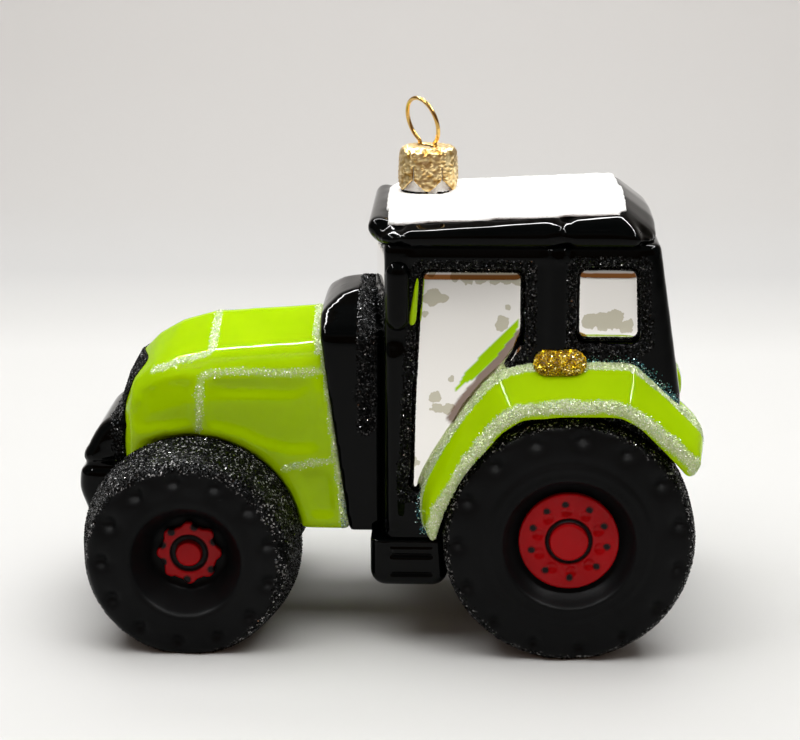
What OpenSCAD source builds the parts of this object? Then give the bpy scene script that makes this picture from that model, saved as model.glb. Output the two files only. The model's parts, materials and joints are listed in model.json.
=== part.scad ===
// Blown-glass tree ornament in the shape of a farm tractor, with its crown cap and wire hanger.
// Front is -X, the driver's left is -Y, up is +Z. The tyres stand on z = 0.

/* [Wheels] */
// Radius of a front tyre out to its lugs
front_r = 20.2; // [19.5:0.1:20.5]
// Distance of the front wheel centres ahead of the origin
front_x = 35.3; // [35:0.1:35.6]
// Inner face of a front tyre, from the middle plane
front_in = 15; // [14.5:0.1:15.5]
// Outer face of a front tyre, from the middle plane
front_out = 30; // [29:0.1:31]
// Radius of a rear tyre out to its lugs
rear_r = 22.7; // [22:0.1:23]
// Distance of the rear wheel centres behind the origin
rear_x = 33.8; // [33:0.1:34]
// Inner face of a rear tyre, from the middle plane
rear_in = 17; // [16.5:0.1:17.5]
// Outer face of a rear tyre, from the middle plane
rear_out = 31; // [30:0.1:31]

/* [Hood] */
// Half width of the hood at its shoulders
hood_half = 17.5; // [17:0.1:18]
// Foremost point of the hood
hood_nose_x = -48.3; // [-49:0.1:-48]
// Height of the hood where it meets the cowl
hood_top = 59.4; // [58.5:0.1:60]
// Foremost point of the nose weights
weight_nose_x = -57.5; // [-58:0.1:-57]
// Half width of the nose weights
weight_half = 13; // [12:0.1:13.5]

/* [Cab] */
// Half width of the cab over its side walls
cab_half = 23.5; // [23:0.1:24]
// Front wall of the cab
cab_front = -1.9; // [-2.2:0.1:-1.6]
// Rear wall of the cab at the belt line
cab_rear = 53.5; // [53:0.1:54]
// Rear wall of the cab under the roof
cab_rear_top = 49.2; // [48.5:0.1:49.5]
// Height at which the roof sits on the cab
roof_seat = 75.5; // [75:0.1:76]
// Height of the roof's crown
roof_top = 82.6; // [82.3:0.1:83]
// Half width of the roof
roof_half = 24.4; // [24:0.1:25]
// Thickness of the glass walls
glass = 1.2; // [1:0.1:1.5]

/* [Cap and hanger] */
// Distance of the neck behind the origin
neck_x = 7.8; // [7:0.1:8.5]
// Outer radius of the glass neck
neck_r = 4.6; // [4.4:0.05:4.7]
// Height of the neck's rim
neck_top = 88.8; // [88.5:0.1:89]
// Height of the cap's top plate
cap_top = 89.6; // [89.5:0.1:90]
// Height of the leaf tips round the cap's skirt
cap_tip = 81.9; // [81.8:0.1:82.4]
// Outer radius of the cap at its shoulder
cap_r = 5.35; // [5.3:0.05:5.6]
// Number of leaves round the skirt
cap_leaves = 6; // [5:1:8]
// Radius of the hanger's wire
wire_r = 0.38; // [0.35:0.01:0.4]
// Radius of the hanger's loop, at the middle of the wire
loop_r = 4.55; // [4.4:0.05:4.8]
// Lean of the loop from upright
loop_lean = 15; // [0:1:25]
// Turn of the loop's plane about the neck
loop_turn = -53; // [-90:1:90]

/* [Hidden] */

$fn = 48;
hull_fn = 24;       // smoothness of a hull's own corners
hood_end = -4;      // where the hood's form ends, inside the cowl
far = 120;          // reach of a cutting block, past every side of the ornament
deck = 20.7;        // common underside of hood, cowl and cab
fit = 0.3;          // room round a tyre in its pocket
front_flat = 2.2;   // depth of the flat on which a front tyre stands
rear_flat = 0.2;    // depth of the flat on which a rear tyre stands
relief = 0.6;       // depth of the panels and grooves blown into the glass
rib_x = 31.2;       // middle of the rib between door and quarter window
front_dish = 7;     // depth of a front wheel's hollow
front_taper = 1.7;  // how much smaller a front tyre is at its outer shoulder
bow_r = 100;        // radius of the cab's bowed front
belt = 48;          // height at which the cab's rear wall turns upright
pane_sink = 0.2;    // how far a window's crown lies inside the cab's wall
crown_r = 200;      // radius of a window's bulge
pane = 2.6;         // thickness of a silvered window at its crown
snow = 0.6;         // thickness of the roof's white coat
coat = 0.4;         // thickness of a glitter coat
bore_r = neck_r - 1;
cap_wall = 0.4;
leaf_rise = 2;      // height of a leaf's point
hole_gap = 2.4;     // half the distance between the hanger's two legs
leg_depth = 4;      // how far the legs reach under the pivot
pivot_z = cap_top - cap_wall / 2;
loop_rise = 4.9;    // height of the loop's middle over the pivot

green = "#9bcb12";
black = "#101112";
glitter_black = "#1b1c1e";
red = "#b01820";
silver = "#d9d9d6";
white = "#f4f4f2";
gold = "#c9a24b";

// Points on an arc, from angle a0 to a1
function arc(cx, cy, r, a0, a1, n = 6) =
  [for (i = [0:n]) let (a = a0 + (a1 - a0) * i / n) [cx + r * cos(a), cy + r * sin(a)]];

// Pushes an outline drawn in X and Z from y0 to y1
module side_plate(y0, y1) {
  translate([0, y1, 0]) rotate([90, 0, 0]) linear_extrude(height = y1 - y0) children();
}

// Pushes an outline drawn in Y and Z from x0 to x1
module end_plate(x0, x1) {
  translate([x0, 0, 0]) rotate([90, 0, 90]) linear_extrude(height = x1 - x0) children();
}

// An outline's corners, rounded
module rounded(r) {
  offset(r = r, $fn = hull_fn) offset(delta = -r) children();
}

// A convex side outline pushed out to both sides, its rim rolled over like blown glass
module pillow(half, edge, steps = 4) {
  hull() for (i = [0:steps]) {
    a = 90 * i / steps;
    y = half - edge + edge * sin(a);
    side_plate(-y, y) offset(delta = -edge * (1 - cos(a))) children();
  }
}

// Keeps the half of a pair that lies on one side: -1 is left, 1 is right
module on_side(side) {
  mirror([0, side > 0 ? 1 : 0, 0]) children();
}

module both_sides() {
  children();
  mirror([0, 1, 0]) children();
}

// A cylinder across the tractor, round a wheel's axis, out from the middle plane
module wheel_pocket(x, z, r, y_in) {
  both_sides() translate([x, -y_in, z]) rotate([90, 0, 0]) cylinder(r = r, h = far);
}

module front_pocket(grow = 0) {
  wheel_pocket(-front_x, front_r - front_flat, front_r + fit + grow, front_in - grow);
}

module rear_pocket(grow = 0) {
  wheel_pocket(rear_x, rear_r - rear_flat, rear_r + fit + grow, rear_in - grow);
}

// Everything under the common underside of hood, cowl and cab
module under_deck() {
  translate([-far, -far, -far]) cube([2 * far, 2 * far, far + deck]);
}

// Hood

// The hood's section from x back: half width, foot, shoulder and crown heights
module hood_slice(x, half, foot, shoulder, crown, grow) {
  end_plate(x, hood_end) offset(r = 1.6 + grow, $fn = hull_fn) offset(delta = -1.6)
    polygon([[-half, foot], [-half, shoulder - 8], [-half + 1, shoulder - 3], [-half + 3.3, shoulder],
             [0, crown], [half - 3.3, shoulder], [half - 1, shoulder - 3], [half, shoulder - 8],
             [half, foot]]);
}

// The hood as one blown form, from the nose back past the cowl's slanting edge
module hood_form(grow = 0) {
  hull() {
    hood_slice(hood_nose_x - grow, 12.5, 33, 43.6, 45.5, grow);
    hood_slice(hood_nose_x + 2, 15, 27, 47, 50, grow);
    hood_slice(hood_nose_x + 5.5, 16.3, 22, 49.8, 53.6, grow);
    hood_slice(hood_nose_x + 10, 17, deck, 51.6, 56.2, grow);
    hood_slice(hood_nose_x + 16, hood_half, deck, 53, 57.9, grow);
    hood_slice(hood_end - 1, hood_half + 0.1, deck - 1, 55.4, hood_top + 0.4, grow);
  }
}

// Everything behind the slanting line where hood and cowl meet
module behind_hood() {
  side_plate(-far, far) polygon([[-11.6, hood_top + 20], [-11.6, hood_top], [-6.2, deck],
                                 [-6.2, deck - 20], [far, deck - 20], [far, hood_top + 20]]);
}

// Outlines of the panels that are blown into the hood's sides
module hood_panels() {
  rounded(1.5) polygon([[-35, 49], [-40.4, 48.4], [-44.6, 46], [-46.4, 41.6], [-46.6, 38.2], [-42, 39.3], [-35, 40.2]]);
  rounded(1.5) polygon([[-32.4, 48.8], [-13, 49.2], [-11.3, 35.8], [-17.4, 35.6], [-21.4, 36.6], [-26, 38.8],
                        [-32.4, 40.2]]);
  rounded(1.2) polygon([[-16, 31.4], [-9.8, 31.8], [-8.6, 23], [-13.2, 23]]);
}

// A long slot in the middle panel, under its upper edge
module hood_slot() {
  both_sides() hull() for (x = [-29.6, -16])
    translate([x, -hood_half - 2, 46.8]) rotate([-90, 0, 0]) cylinder(r = 0.7, h = 5);
}

module hood() {
  color(green) difference() {
    union() {
      difference() {
        hood_form();
        side_plate(-far, far) hood_panels();
      }
      difference() {
        hood_form(-relief);
        hood_slot();
      }
      hood_form(-2 * relief);
    }
    behind_hood();
    front_pocket();
    under_deck();
  }
}

module grille() {
  color(glitter_black) intersection() {
    end_plate(hood_nose_x - 2, hood_nose_x + 4) rounded(3)
      polygon([[-10, 36], [-11, 46], [-8, 50.5], [8, 50.5], [11, 46], [10, 36]]);
    difference() {
      hood_form(coat);
      hood_form();
      weight_form();
    }
  }
}

module weight_form(grow = 0) {
  pillow(weight_half + grow, 3 + grow) offset(delta = grow) rounded(5)
    polygon([[weight_nose_x, 26], [weight_nose_x + 0.6, 32], [weight_nose_x + 4, 38],
             [weight_nose_x + 9, 42], [-38, 42], [-38, 18], [weight_nose_x + 3, 18]]);
}

// Gaps between the slats across the nose, and the deeper one under them
module slat_gaps() {
  for (z = [34.4, 37.1, 39.8]) translate([-far, -far, z - 0.4]) cube([2 * far, 2 * far, 0.8]);
  translate([-far, -far, 29.8]) cube([2 * far, 2 * far, 2.4]);
}

module nose_weights() {
  color(black) difference() {
    union() {
      difference() {
        weight_form();
        slat_gaps();
      }
      weight_form(-1.5 * relief);
    }
    hood_form();
    translate([-46, -far / 2, 0]) cube([far, far, deck]);
  }
}

// Cowl and chassis

// The cowl's section across the tractor, drawn in by inset
module cowl_outline(inset) {
  offset(delta = -inset) rounded(3)
    polygon([[-18.5, deck - 6], [-18.5, 57.6], [-17.4, 58.8], [-6, 63.9], [0, 64.4], [6, 63.9],
             [17.4, 58.8], [18.5, 57.6], [18.5, deck - 6]]);
}

module cowl_form() {
  hull() {
    end_plate(-12.3, 4) cowl_outline(1.6);
    end_plate(-11.6, 4) cowl_outline(0.7);
    end_plate(-10.4, 4) cowl_outline(0.2);
    end_plate(-8.5, 4) cowl_outline(0);
  }
}

module cowl() {
  color(black) intersection() {
    difference() {
      cowl_form();
      difference() {
        hood_form();
        behind_hood();
      }
      front_pocket();
      bow(0);
    }
    translate([-12.3, -far / 2, deck]) cube([14.3, far, far]);
    behind_hood();
  }
}

// The chassis is drawn in between the wheels, where nothing shows under the hood
module chassis() {
  color(black) difference() {
    intersection() {
      pillow(front_in, 3) rounded(4)
        polygon([[-46, 15.5], [-46, 30], [50, 30], [50, 15.5]]);
      translate([-46, -far / 2, 0]) cube([96, far, deck]);
    }
    both_sides() translate([-18, 8, 0]) cube([20, far, far]);
    translate([-18, -far / 2, 0]) cube([20, far, 18.2]);
  }
}

// Cab

module cab_form(grow = 0) {
  intersection() {
    pillow(cab_half + grow, 2.5 + grow) offset(delta = grow) rounded(4.5)
      polygon([[cab_front, deck - 8], [cab_front, roof_seat + 8], [cab_rear_top - 1.2, roof_seat + 8],
               [cab_rear, belt], [cab_rear, deck - 8]]);
    translate([-far, -far, deck - grow]) cube([2 * far, 2 * far, roof_seat - deck + 2 * grow]);
    bow(grow);
  }
}

// A drum whose front is the bowed front of the cab
module bow(grow) {
  translate([cab_front + bow_r, 0, 0]) cylinder(r = bow_r + grow, h = far, $fn = 360);
}

module door_outline() {
  rounded(1.2)
    polygon([[6.9, 71], [25.3, 71], [25.3, 57], [22, 52.6], [15.8, 45], [10.4, 36.6], [5.4, 26.8], [4.8, 26.8],
             [5.4, 43], [6.1, 57.6]]);
}

module quarter_outline() {
  rounded(1.5) polygon([[34.6, 57.6], [34.6, 71.4], [45.6, 71.4], [46.2, 57.6]]);
}

module front_outline() {
  rounded(2) polygon([[-21, 65.6], [-21, 73.6], [21, 73.6], [21, 65.6]]);
}

module rear_outline() {
  rounded(2.5) polygon([[-17.5, 53], [-17, 72], [17, 72], [17.5, 53]]);
}

module door_opening(side) {
  on_side(side) side_plate(-far, -cab_half + 8) door_outline();
}

module quarter_opening(side) {
  on_side(side) side_plate(-far, -cab_half + 8) quarter_outline();
}

module front_opening() {
  end_plate(-far, cab_front + 8) front_outline();
}

module rear_opening() {
  end_plate(cab_rear_top - 8, far) rear_outline();
}

// The bore down the glass neck
module neck_bore() {
  translate([neck_x, 0, roof_seat - 10]) cylinder(r = bore_r, h = far);
}

// The rib between door and quarter window
module pillar_rib() {
  both_sides() translate([rib_x, -cab_half + 0.4, 50]) cylinder(r = 1.5, h = roof_seat - 50);
}

// The ribs up the cab's front corners, under the mirrors
module corner_ribs() {
  both_sides() round_bar([2.2, -cab_half + 0.6, 24], [2.2, -cab_half + 0.6, 55.6], 1.6);
}

module cab() {
  color(black) difference() {
    union() {
      cab_form();
      pillar_rib();
      corner_ribs();
    }
    difference() {
      cab_form(-glass);
      rear_pocket(glass);
    }
    rear_pocket();
    for (side = [-1, 1]) {
      door_opening(side);
      quarter_opening(side);
    }
    front_opening();
    rear_opening();
    neck_bore();
  }
}

// A ball whose outermost point lies at a window's crown, seen from its own side
module pane_ball(crown, out) {
  translate(crown - out * (crown_r + pane_sink)) sphere(r = crown_r, $fn = 520);
}

module windscreen() {
  color(silver) intersection() {
    end_plate(cab_front - 1, cab_front + 7) front_outline();
    difference() {
      bow(-pane_sink);
      bow(-pane_sink - pane);
    }
  }
}

module rear_window() {
  lean = atan((cab_rear - cab_rear_top) / (roof_seat - belt));
  color(silver) intersection() {
    rear_opening();
    translate([cab_rear, 0, belt]) rotate([0, -lean, 0])
      translate([-pane_sink - pane, -far, 0]) cube([pane + pane_sink, 2 * far, far]);
    pane_ball([(cab_rear + cab_rear_top) / 2, 0, (belt + roof_seat) / 2], [cos(lean), 0, sin(lean)]);
  }
}

module door_window(side) {
  color(silver) on_side(side) difference() {
    intersection() {
      side_plate(-cab_half, -cab_half + pane_sink + pane) door_outline();
      pane_ball([14, -cab_half, 54], [0, -1, 0]);
    }
    rear_pocket(glass);
  }
}

module quarter_window(side) {
  color(silver) on_side(side) intersection() {
    side_plate(-cab_half, -cab_half + pane_sink + pane) quarter_outline();
    pane_ball([40.6, -cab_half, 65.3], [0, -1, 0]);
  }
}

// Roof

// The roof's section out to y on both sides: height of its top, and how far its ends draw in
module roof_slice(y, top, inset, grow) {
  side_plate(-y, y) offset(r = 2 + grow, $fn = hull_fn) offset(delta = -2)
    polygon([[cab_front + inset, roof_seat - 4], [cab_front + inset, top - 4.4], [cab_front + 4 + inset, top - 2],
             [43 - inset, top], [49 - inset, top - 4.5], [49.6 - inset, roof_seat - 4]]);
}

// The roof's outermost edge, over the ledge that runs above the windows
module roof_edge(grow) {
  side_plate(-roof_half - grow, roof_half + grow) rounded(0.3)
    polygon([[cab_front + 4.6, roof_seat + 0.9], [cab_front + 4.6, roof_seat + 1.4], [cab_front + 5.4, roof_seat + 1.8],
             [44.6, roof_seat + 1.8], [46, roof_seat + 1.4], [46, roof_seat + 0.9]]);
}

module roof_form(grow = 0) {
  intersection() {
    hull() {
      roof_slice(1, roof_top, 0, grow);
      roof_slice(roof_half * 0.4, roof_top - 0.3, 0.05, grow);
      roof_slice(roof_half * 0.7, roof_top - 1.4, 0.2, grow);
      roof_slice(roof_half * 0.86, roof_top - 2.4, 0.5, grow);
      roof_slice(roof_half * 0.93, roof_top - 3.2, 1.2, grow);
      roof_slice(roof_half * 0.976, roof_top - 4.2, 2.2, grow);
      roof_edge(grow);
    }
    translate([-far, -far, roof_seat]) cube([2 * far, 2 * far, far]);
  }
}

// The roof's front visor, and the bulge at the head of each pillar rib
module roof_bulges() {
  intersection() {
    union() {
      translate([cab_front + 1.3, 17.5, 77.4]) rotate([90, 0, 0]) cylinder(r = 1.9, h = 35);
      both_sides() {
        translate([cab_front + 1.3, 17.5, 77.4]) sphere(r = 1.9);
        translate([rib_x, 22.9, 77.2]) sphere(r = 2);
      }
    }
    translate([-far, -far, roof_seat]) cube([2 * far, 2 * far, far]);
  }
}

module roof() {
  color(black) difference() {
    union() {
      roof_form();
      roof_bulges();
      translate([neck_x, 0, roof_seat + 1]) cylinder(r = neck_r, h = neck_top - roof_seat - 1);
    }
    neck_bore();
  }
}

module roof_snow() {
  color(white) difference() {
    intersection() {
      translate([0, 0, roof_seat + 1]) linear_extrude(height = far) rounded(3)
        polygon([[0.8, -20.8], [-0.2, 20.8], [42.6, 20.8], [43.6, -20.8]]);
      roof_form(snow);
    }
    roof_form();
    roof_bulges();
    translate([neck_x, 0, roof_seat]) cylinder(r = neck_r, h = far);
  }
}

// Fenders

// A fender's edge against the cab, from its front foot over the top to its rear end,
// and how far each point draws in for one millimetre of drop
fender_edge = [[8.6, 22.4], [7.6, 26], [7.8, 30.5], [9.2, 34.5], [12, 39.8], [15.2, 45.2], [18.6, 49.8], [21.6, 52.2],
               [26, 53.5], [36, 54], [44.6, 53.8], [48, 51.2], [51.4, 48], [57.4, 42], [57.4, 38], [55.4, 35.6]];
fender_draw = [[0.1, 0], [0.2, 0], [0.3, 0], [0.5, -0.2], [0.7, -0.4], [0.82, -0.55], [0.7, -0.72], [0.45, -0.92],
               [0.15, -1], [0, -1], [-0.2, -1], [-0.6, -0.9], [-0.65, -0.75], [-0.35, -0.35], [-0.15, 0], [0, 0]];

// Outline of a fender's crown, lowered by drop
module fender_outline(drop) {
  rounded(1.2) polygon(fender_edge + drop * fender_draw);
}

// Outline of the arch under a fender
module arch_outline() {
  rounded(2)
    polygon([[9.2, 20], [9.6, 23.6], [11.2, 28.6], [16.7, 37.5], [21.4, 43.2], [25, 45.6], [32.8, 46.2], [42.6, 46.2],
             [46.2, 44.2], [50.8, 39.6], [54, 36.2], [60, 20]]);
}

module fender_form() {
  hull() {
    side_plate(-cab_half - 1, -rear_in) fender_outline(0);
    side_plate(-rear_out + 4, -rear_in) fender_outline(2);
    side_plate(-rear_out + 1.6, -rear_in) fender_outline(4.2);
    side_plate(-rear_out + 0.4, -rear_in) fender_outline(4.9);
    side_plate(-rear_out, -rear_in) fender_outline(5.6);
  }
}

module fender(side) {
  color(green) on_side(side) difference() {
    fender_form();
    side_plate(-far, far) arch_outline();
    rear_pocket();
    cab_form();
    pillar_rib();
    lamp_form();
  }
}

// Black glittered wall between a rear tyre and its fender
module wheel_arch(side) {
  color(glitter_black) on_side(side) difference() {
    intersection() {
      side_plate(-rear_out + 3, -cab_half) arch_outline();
      side_plate(-far, 0) polygon([[20.5, 38], [20.5, 60], [51.5, 60], [51.5, 38]]);
    }
    rear_pocket();
  }
}

// A bar with round ends, from a to b
module round_bar(a, b, r) {
  span = b - a;
  translate(a) rotate([0, acos(span[2] / norm(span)), atan2(span[1], span[0])]) {
    cylinder(r = r, h = norm(span));
    sphere(r = r);
    translate([0, 0, norm(span)]) sphere(r = r);
  }
}

// What lies inside the plane of the cab's left side wall
module inside_wall() {
  translate([-far, -cab_half, -far]) cube(2 * far);
}

module lamp_form() {
  round_bar([29.6, -cab_half - 1.2, 54.4], [34, -cab_half - 1.2, 54.4], 2.3);
}

module lamp(side) {
  color(gold) on_side(side) difference() {
    lamp_form();
    inside_wall();
    pillar_rib();
  }
}

// Steps and mirrors

module step(side) {
  color(black) on_side(side) difference() {
    intersection() {
      pillow(cab_half + 0.4, 2) rounded(2.8)
        polygon([[cab_front - 0.2, 11.7], [cab_front - 0.2, 30], [12, 30], [12, 11.7]]);
      translate([-far, -far, 0]) cube([2 * far, far - front_in, deck]);
    }
    rear_pocket();
    for (z = [14.2, 16, 17.8, 19.6])
      translate([1.4, -cab_half - 1, z - 0.35]) cube([8, 1.3, 0.7]);
  }
}

module side_mirror(side) {
  color(black) on_side(side) difference() {
    round_bar([2.9, -cab_half + 0.4, 62], [2.9, -cab_half + 0.4, 70.4], 2.2);
    cab_form();
    corner_ribs();
  }
}

// Wheels

// A tyre's half section, radius against distance out from its inner face
module tyre_section(r, width, taper, shoulder, bead_r, groove, dish_r, dish) {
  polygon(concat([[0, 0], [r - 3, 0]],
    arc(r - 3, 3, 3, -90, 0, 4),
    arc(r - taper - shoulder, width - shoulder - 0.5, shoulder, 5, 75, 5),
    [[bead_r + 4.4, width - 0.1], [bead_r + 2.6, width - groove]],
    arc(bead_r + 1, width - 1, 1, 60, 160, 4),
    [[dish_r, width - dish], [0, width - dish]]));
}

// Dents between the lugs, round a tyre's outer shoulder
module lug_dents(count, r, out, size) {
  for (i = [0:count - 1]) rotate(360 * (i + 0.5) / count) translate([r, 0, out]) sphere(r = size);
}

module wheel_at(x, z, y_in, side) {
  on_side(side) translate([x, -y_in, z]) rotate([90, 0, 0]) children();
}

// Takes off what lies under the floor
module standing() {
  difference() {
    children();
    translate([-far, -far, -far]) cube([2 * far, 2 * far, far]);
  }
}

module front_tyre(side) {
  color(black) standing() wheel_at(-front_x, front_r - front_flat, front_in, side)
    difference() {
      rotate_extrude() tyre_section(front_r, front_out - front_in, front_taper, 2.6, 10, 0.3, 7, front_dish);
      lug_dents(13, 15.4, front_out - front_in + 0.5, 1.7);
    }
}

module rear_tyre(side) {
  color(black) standing() wheel_at(rear_x, rear_r - rear_flat, rear_in, side)
    difference() {
      rotate_extrude() tyre_section(rear_r, rear_out - rear_in, 0.2, 2.4, 12, 0.6, 9.6, 3.6);
      lug_dents(15, 20, rear_out - rear_in + 0.6, 1.8);
    }
}

module front_rim(side) {
  color(red) wheel_at(-front_x, front_r - front_flat, front_out - front_dish, side) difference() {
    union() {
      linear_extrude(height = 1.4) {
        circle(r = 5.2);
        for (i = [0:7]) rotate(i * 45) translate([4.7, 0]) circle(r = 1.25);
      }
      cylinder(r = 2.3, h = 2.2);
    }
    translate([0, 0, 1]) difference() {
      cylinder(r = 3.5, h = 5);
      translate([0, 0, -1]) cylinder(r = 2.3, h = 7);
    }
  }
}

module rear_rim(side) {
  color(red) wheel_at(rear_x, rear_r - rear_flat, rear_out - 3.6, side) difference() {
    union() {
      cylinder(r = 9, h = 1.3);
      cylinder(r = 3.5, h = 2);
    }
    translate([0, 0, 0.9]) difference() {
      cylinder(r = 4.3, h = 5);
      translate([0, 0, -1]) cylinder(r = 3.5, h = 7);
    }
    for (i = [0:9]) rotate(i * 36 + 23) translate([5.7, 0, 2.3]) sphere(r = 1.5);
  }
}

// Cap and hanger

module cap_section() {
  shoulder = 1.5;
  polygon(concat([[0, cap_top], [cap_r - shoulder, cap_top]],
    arc(cap_r - shoulder, cap_top - shoulder, shoulder, 90, 0),
    [[cap_r + 0.25, cap_tip], [cap_r + 0.25 - cap_wall, cap_tip]],
    arc(cap_r - shoulder, cap_top - shoulder, shoulder - cap_wall, 0, 90),
    [[0, cap_top - cap_wall]]));
}

module cap() {
  leaf_half = 180 / cap_leaves;
  leaf_w = (cap_r + 0.25) * sin(leaf_half);
  color(gold) translate([neck_x, 0, 0]) difference() {
    rotate_extrude() cap_section();
    for (i = [0:cap_leaves - 1]) rotate(-90 + leaf_half + i * 2 * leaf_half) {
      translate([neck_r - 0.4, -0.15, cap_tip - 1]) cube([3, 0.3, cap_top - cap_tip - 2.2]);
      translate([neck_r - 0.4, 0, cap_tip]) rotate([90, 0, 90]) linear_extrude(height = 3)
        polygon([[-leaf_w + 0.5, -0.01], [leaf_w - 0.5, -0.01], [0, leaf_rise]]);
    }
    rotate(loop_turn) translate([-hole_gap, -0.65, cap_top - 1]) cube([2 * hole_gap, 1.3, 2]);
    rotate(loop_turn) for (x = [-hole_gap, hole_gap])
      translate([x, 0, cap_top - 1]) cylinder(r = 0.65, h = 2);
  }
}

module hanger() {
  gap = asin(hole_gap / loop_r);
  foot = loop_rise - loop_r * cos(gap);
  color(gold) translate([neck_x, 0, pivot_z]) rotate([0, 0, loop_turn]) rotate([loop_lean, 0, 0]) {
    translate([0, 0, loop_rise]) rotate([90, 0, 0]) rotate([0, 0, gap - 90])
      rotate_extrude(angle = 360 - 2 * gap) translate([loop_r, 0]) circle(r = wire_r, $fn = 24);
    for (x = [-hole_gap, hole_gap]) {
      translate([x, 0, -leg_depth]) cylinder(r = wire_r, h = leg_depth + foot, $fn = 24);
      translate([x, 0, foot]) sphere(r = wire_r, $fn = 24);
    }
  }
}

hood();
grille();
nose_weights();
cowl();
chassis();
cab();
roof();
roof_snow();
windscreen();
rear_window();
door_window(-1);  // door_window_left
door_window(1);  // door_window_right
quarter_window(-1);  // quarter_window_left
quarter_window(1);  // quarter_window_right
fender(-1);  // fender_left
fender(1);  // fender_right
wheel_arch(-1);  // wheel_arch_left
wheel_arch(1);  // wheel_arch_right
lamp(-1);  // lamp_left
lamp(1);  // lamp_right
step(-1);  // step_left
step(1);  // step_right
side_mirror(-1);  // mirror_left
side_mirror(1);  // mirror_right
front_tyre(-1);  // front_tyre_left
front_tyre(1);  // front_tyre_right
rear_tyre(-1);  // rear_tyre_left
rear_tyre(1);  // rear_tyre_right
front_rim(-1);  // front_rim_left
front_rim(1);  // front_rim_right
rear_rim(-1);  // rear_rim_left
rear_rim(1);  // rear_rim_right
cap();
hanger();
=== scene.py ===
"""Dresses a blown-glass tree ornament in the shape of a farm tractor.

Each piece of glass is softened from its solid, lacquered, and strewn with glitter where the
ornament has it. Sizes are in millimetres in the part's frame: front -X, driver's left -Y, up +Z.
"""

from __future__ import annotations

import json
import logging
import math
import sys
from dataclasses import dataclass
from enum import Enum
from functools import cache
from typing import Any, Callable, Sequence

import bmesh
import bpy
import numpy as np
from mathutils import Matrix, Vector, noise

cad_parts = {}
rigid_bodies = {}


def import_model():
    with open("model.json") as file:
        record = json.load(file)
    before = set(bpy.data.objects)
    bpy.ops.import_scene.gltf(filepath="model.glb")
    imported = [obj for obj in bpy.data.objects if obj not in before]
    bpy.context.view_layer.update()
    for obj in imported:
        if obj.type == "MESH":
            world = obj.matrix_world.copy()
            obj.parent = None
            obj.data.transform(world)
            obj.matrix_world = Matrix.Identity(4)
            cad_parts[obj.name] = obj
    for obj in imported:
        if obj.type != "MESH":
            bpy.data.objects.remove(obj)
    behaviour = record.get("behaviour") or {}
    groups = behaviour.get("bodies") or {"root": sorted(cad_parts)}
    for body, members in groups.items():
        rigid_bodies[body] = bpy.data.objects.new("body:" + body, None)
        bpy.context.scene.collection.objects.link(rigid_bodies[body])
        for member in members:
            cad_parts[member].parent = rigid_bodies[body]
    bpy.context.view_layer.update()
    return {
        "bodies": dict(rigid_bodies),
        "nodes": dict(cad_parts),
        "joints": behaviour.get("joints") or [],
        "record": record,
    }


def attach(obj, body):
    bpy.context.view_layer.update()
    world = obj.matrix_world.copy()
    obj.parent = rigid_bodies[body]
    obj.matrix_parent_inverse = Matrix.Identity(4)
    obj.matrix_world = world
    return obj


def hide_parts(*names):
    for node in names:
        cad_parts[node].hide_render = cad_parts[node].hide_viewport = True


LOG = logging.getLogger("ornament")
MM = 0.001

Outline = Sequence[tuple[float, float]]
Colour = tuple[float, float, float, float]
Stops = Sequence[tuple[float, str]]

# Distance of the cab's side walls from the middle plane, and the outlines of its side windows.
CAB_WALL = 23.5
DOOR: Outline = ((6.9, 71), (25.3, 71), (25.3, 57), (22, 52.6), (15.8, 45), (10.4, 36.6), (6.8, 29.7),
                 (4.9, 29.7), (5.4, 43), (6.1, 57.6))
QUARTER: Outline = ((34.6, 57.6), (34.6, 71.4), (45.6, 71.4), (46.2, 57.6))


class Side(Enum):
    """The ornament's two sides, each with the way in which it lies."""

    LEFT = -1
    RIGHT = 1

    def of(self, piece: str) -> str:
        """Gives the name of this side's piece."""
        return f"{piece}_{self.name.lower()}"


class Mask(Enum):
    """The marks that a piece carries, point by point, for its glitter and its paint, painted reflections
    among them.
    """

    GLITTER = "glitter"
    TEAL = "teal"
    FRAME = "frame"
    SEAM = "seam"
    # The last two mark painted reflections on the windows.
    STAIN = "stain"
    LEAF = "leaf"


class Plane(Enum):
    """The two coordinates in which a line of glitter is drawn, and the one that it is drawn across."""

    SIDE = (0, 2, 1)
    TOP = (0, 1, 2)


def srgb(code: str) -> Colour:
    """Turns an sRGB hex value into a linear colour.

    Args:
        code: The colour as "#rrggbb".

    Returns:
        Red, green, blue and an alpha of one.
    """
    parts = [int(code[i:i + 2], 16) / 255 for i in (1, 3, 5)]
    red, green, blue = (c / 12.92 if c <= 0.04045 else ((c + 0.055) / 1.055) ** 2.4 for c in parts)
    return red, green, blue, 1.0


def per_mm(size: float) -> float:
    """Gives the texture scale, on coordinates in metres, whose features are this many millimetres wide."""
    return 1 / (size * MM)


def add(tree: bpy.types.NodeTree, kind: str, inputs: dict[str | int, Any] | None = None, stops: Stops = (),
        **settings: Any) -> bpy.types.Node:
    """Adds a node to a tree, with its settings and links.

    Args:
        tree: The shader or geometry tree.
        kind: The node's type.
        inputs: For each input, by name or number, an output to link or a value to set.
        stops: Position and sRGB colour of each stop of a colour ramp, in order.
        **settings: The node's own properties.

    Returns:
        The new node.
    """
    node = tree.nodes.new(kind)
    for name, value in settings.items():
        setattr(node, name, value)
    for key, value in (inputs or {}).items():
        if isinstance(value, bpy.types.NodeSocket):
            tree.links.new(value, node.inputs[key])
        else:
            node.inputs[key].default_value = value
    for number, (position, code) in enumerate(stops):
        elements = node.color_ramp.elements
        element = elements[number] if number < len(elements) else elements.new(position)
        element.position = position
        element.color = srgb(code)
    return node


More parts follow.
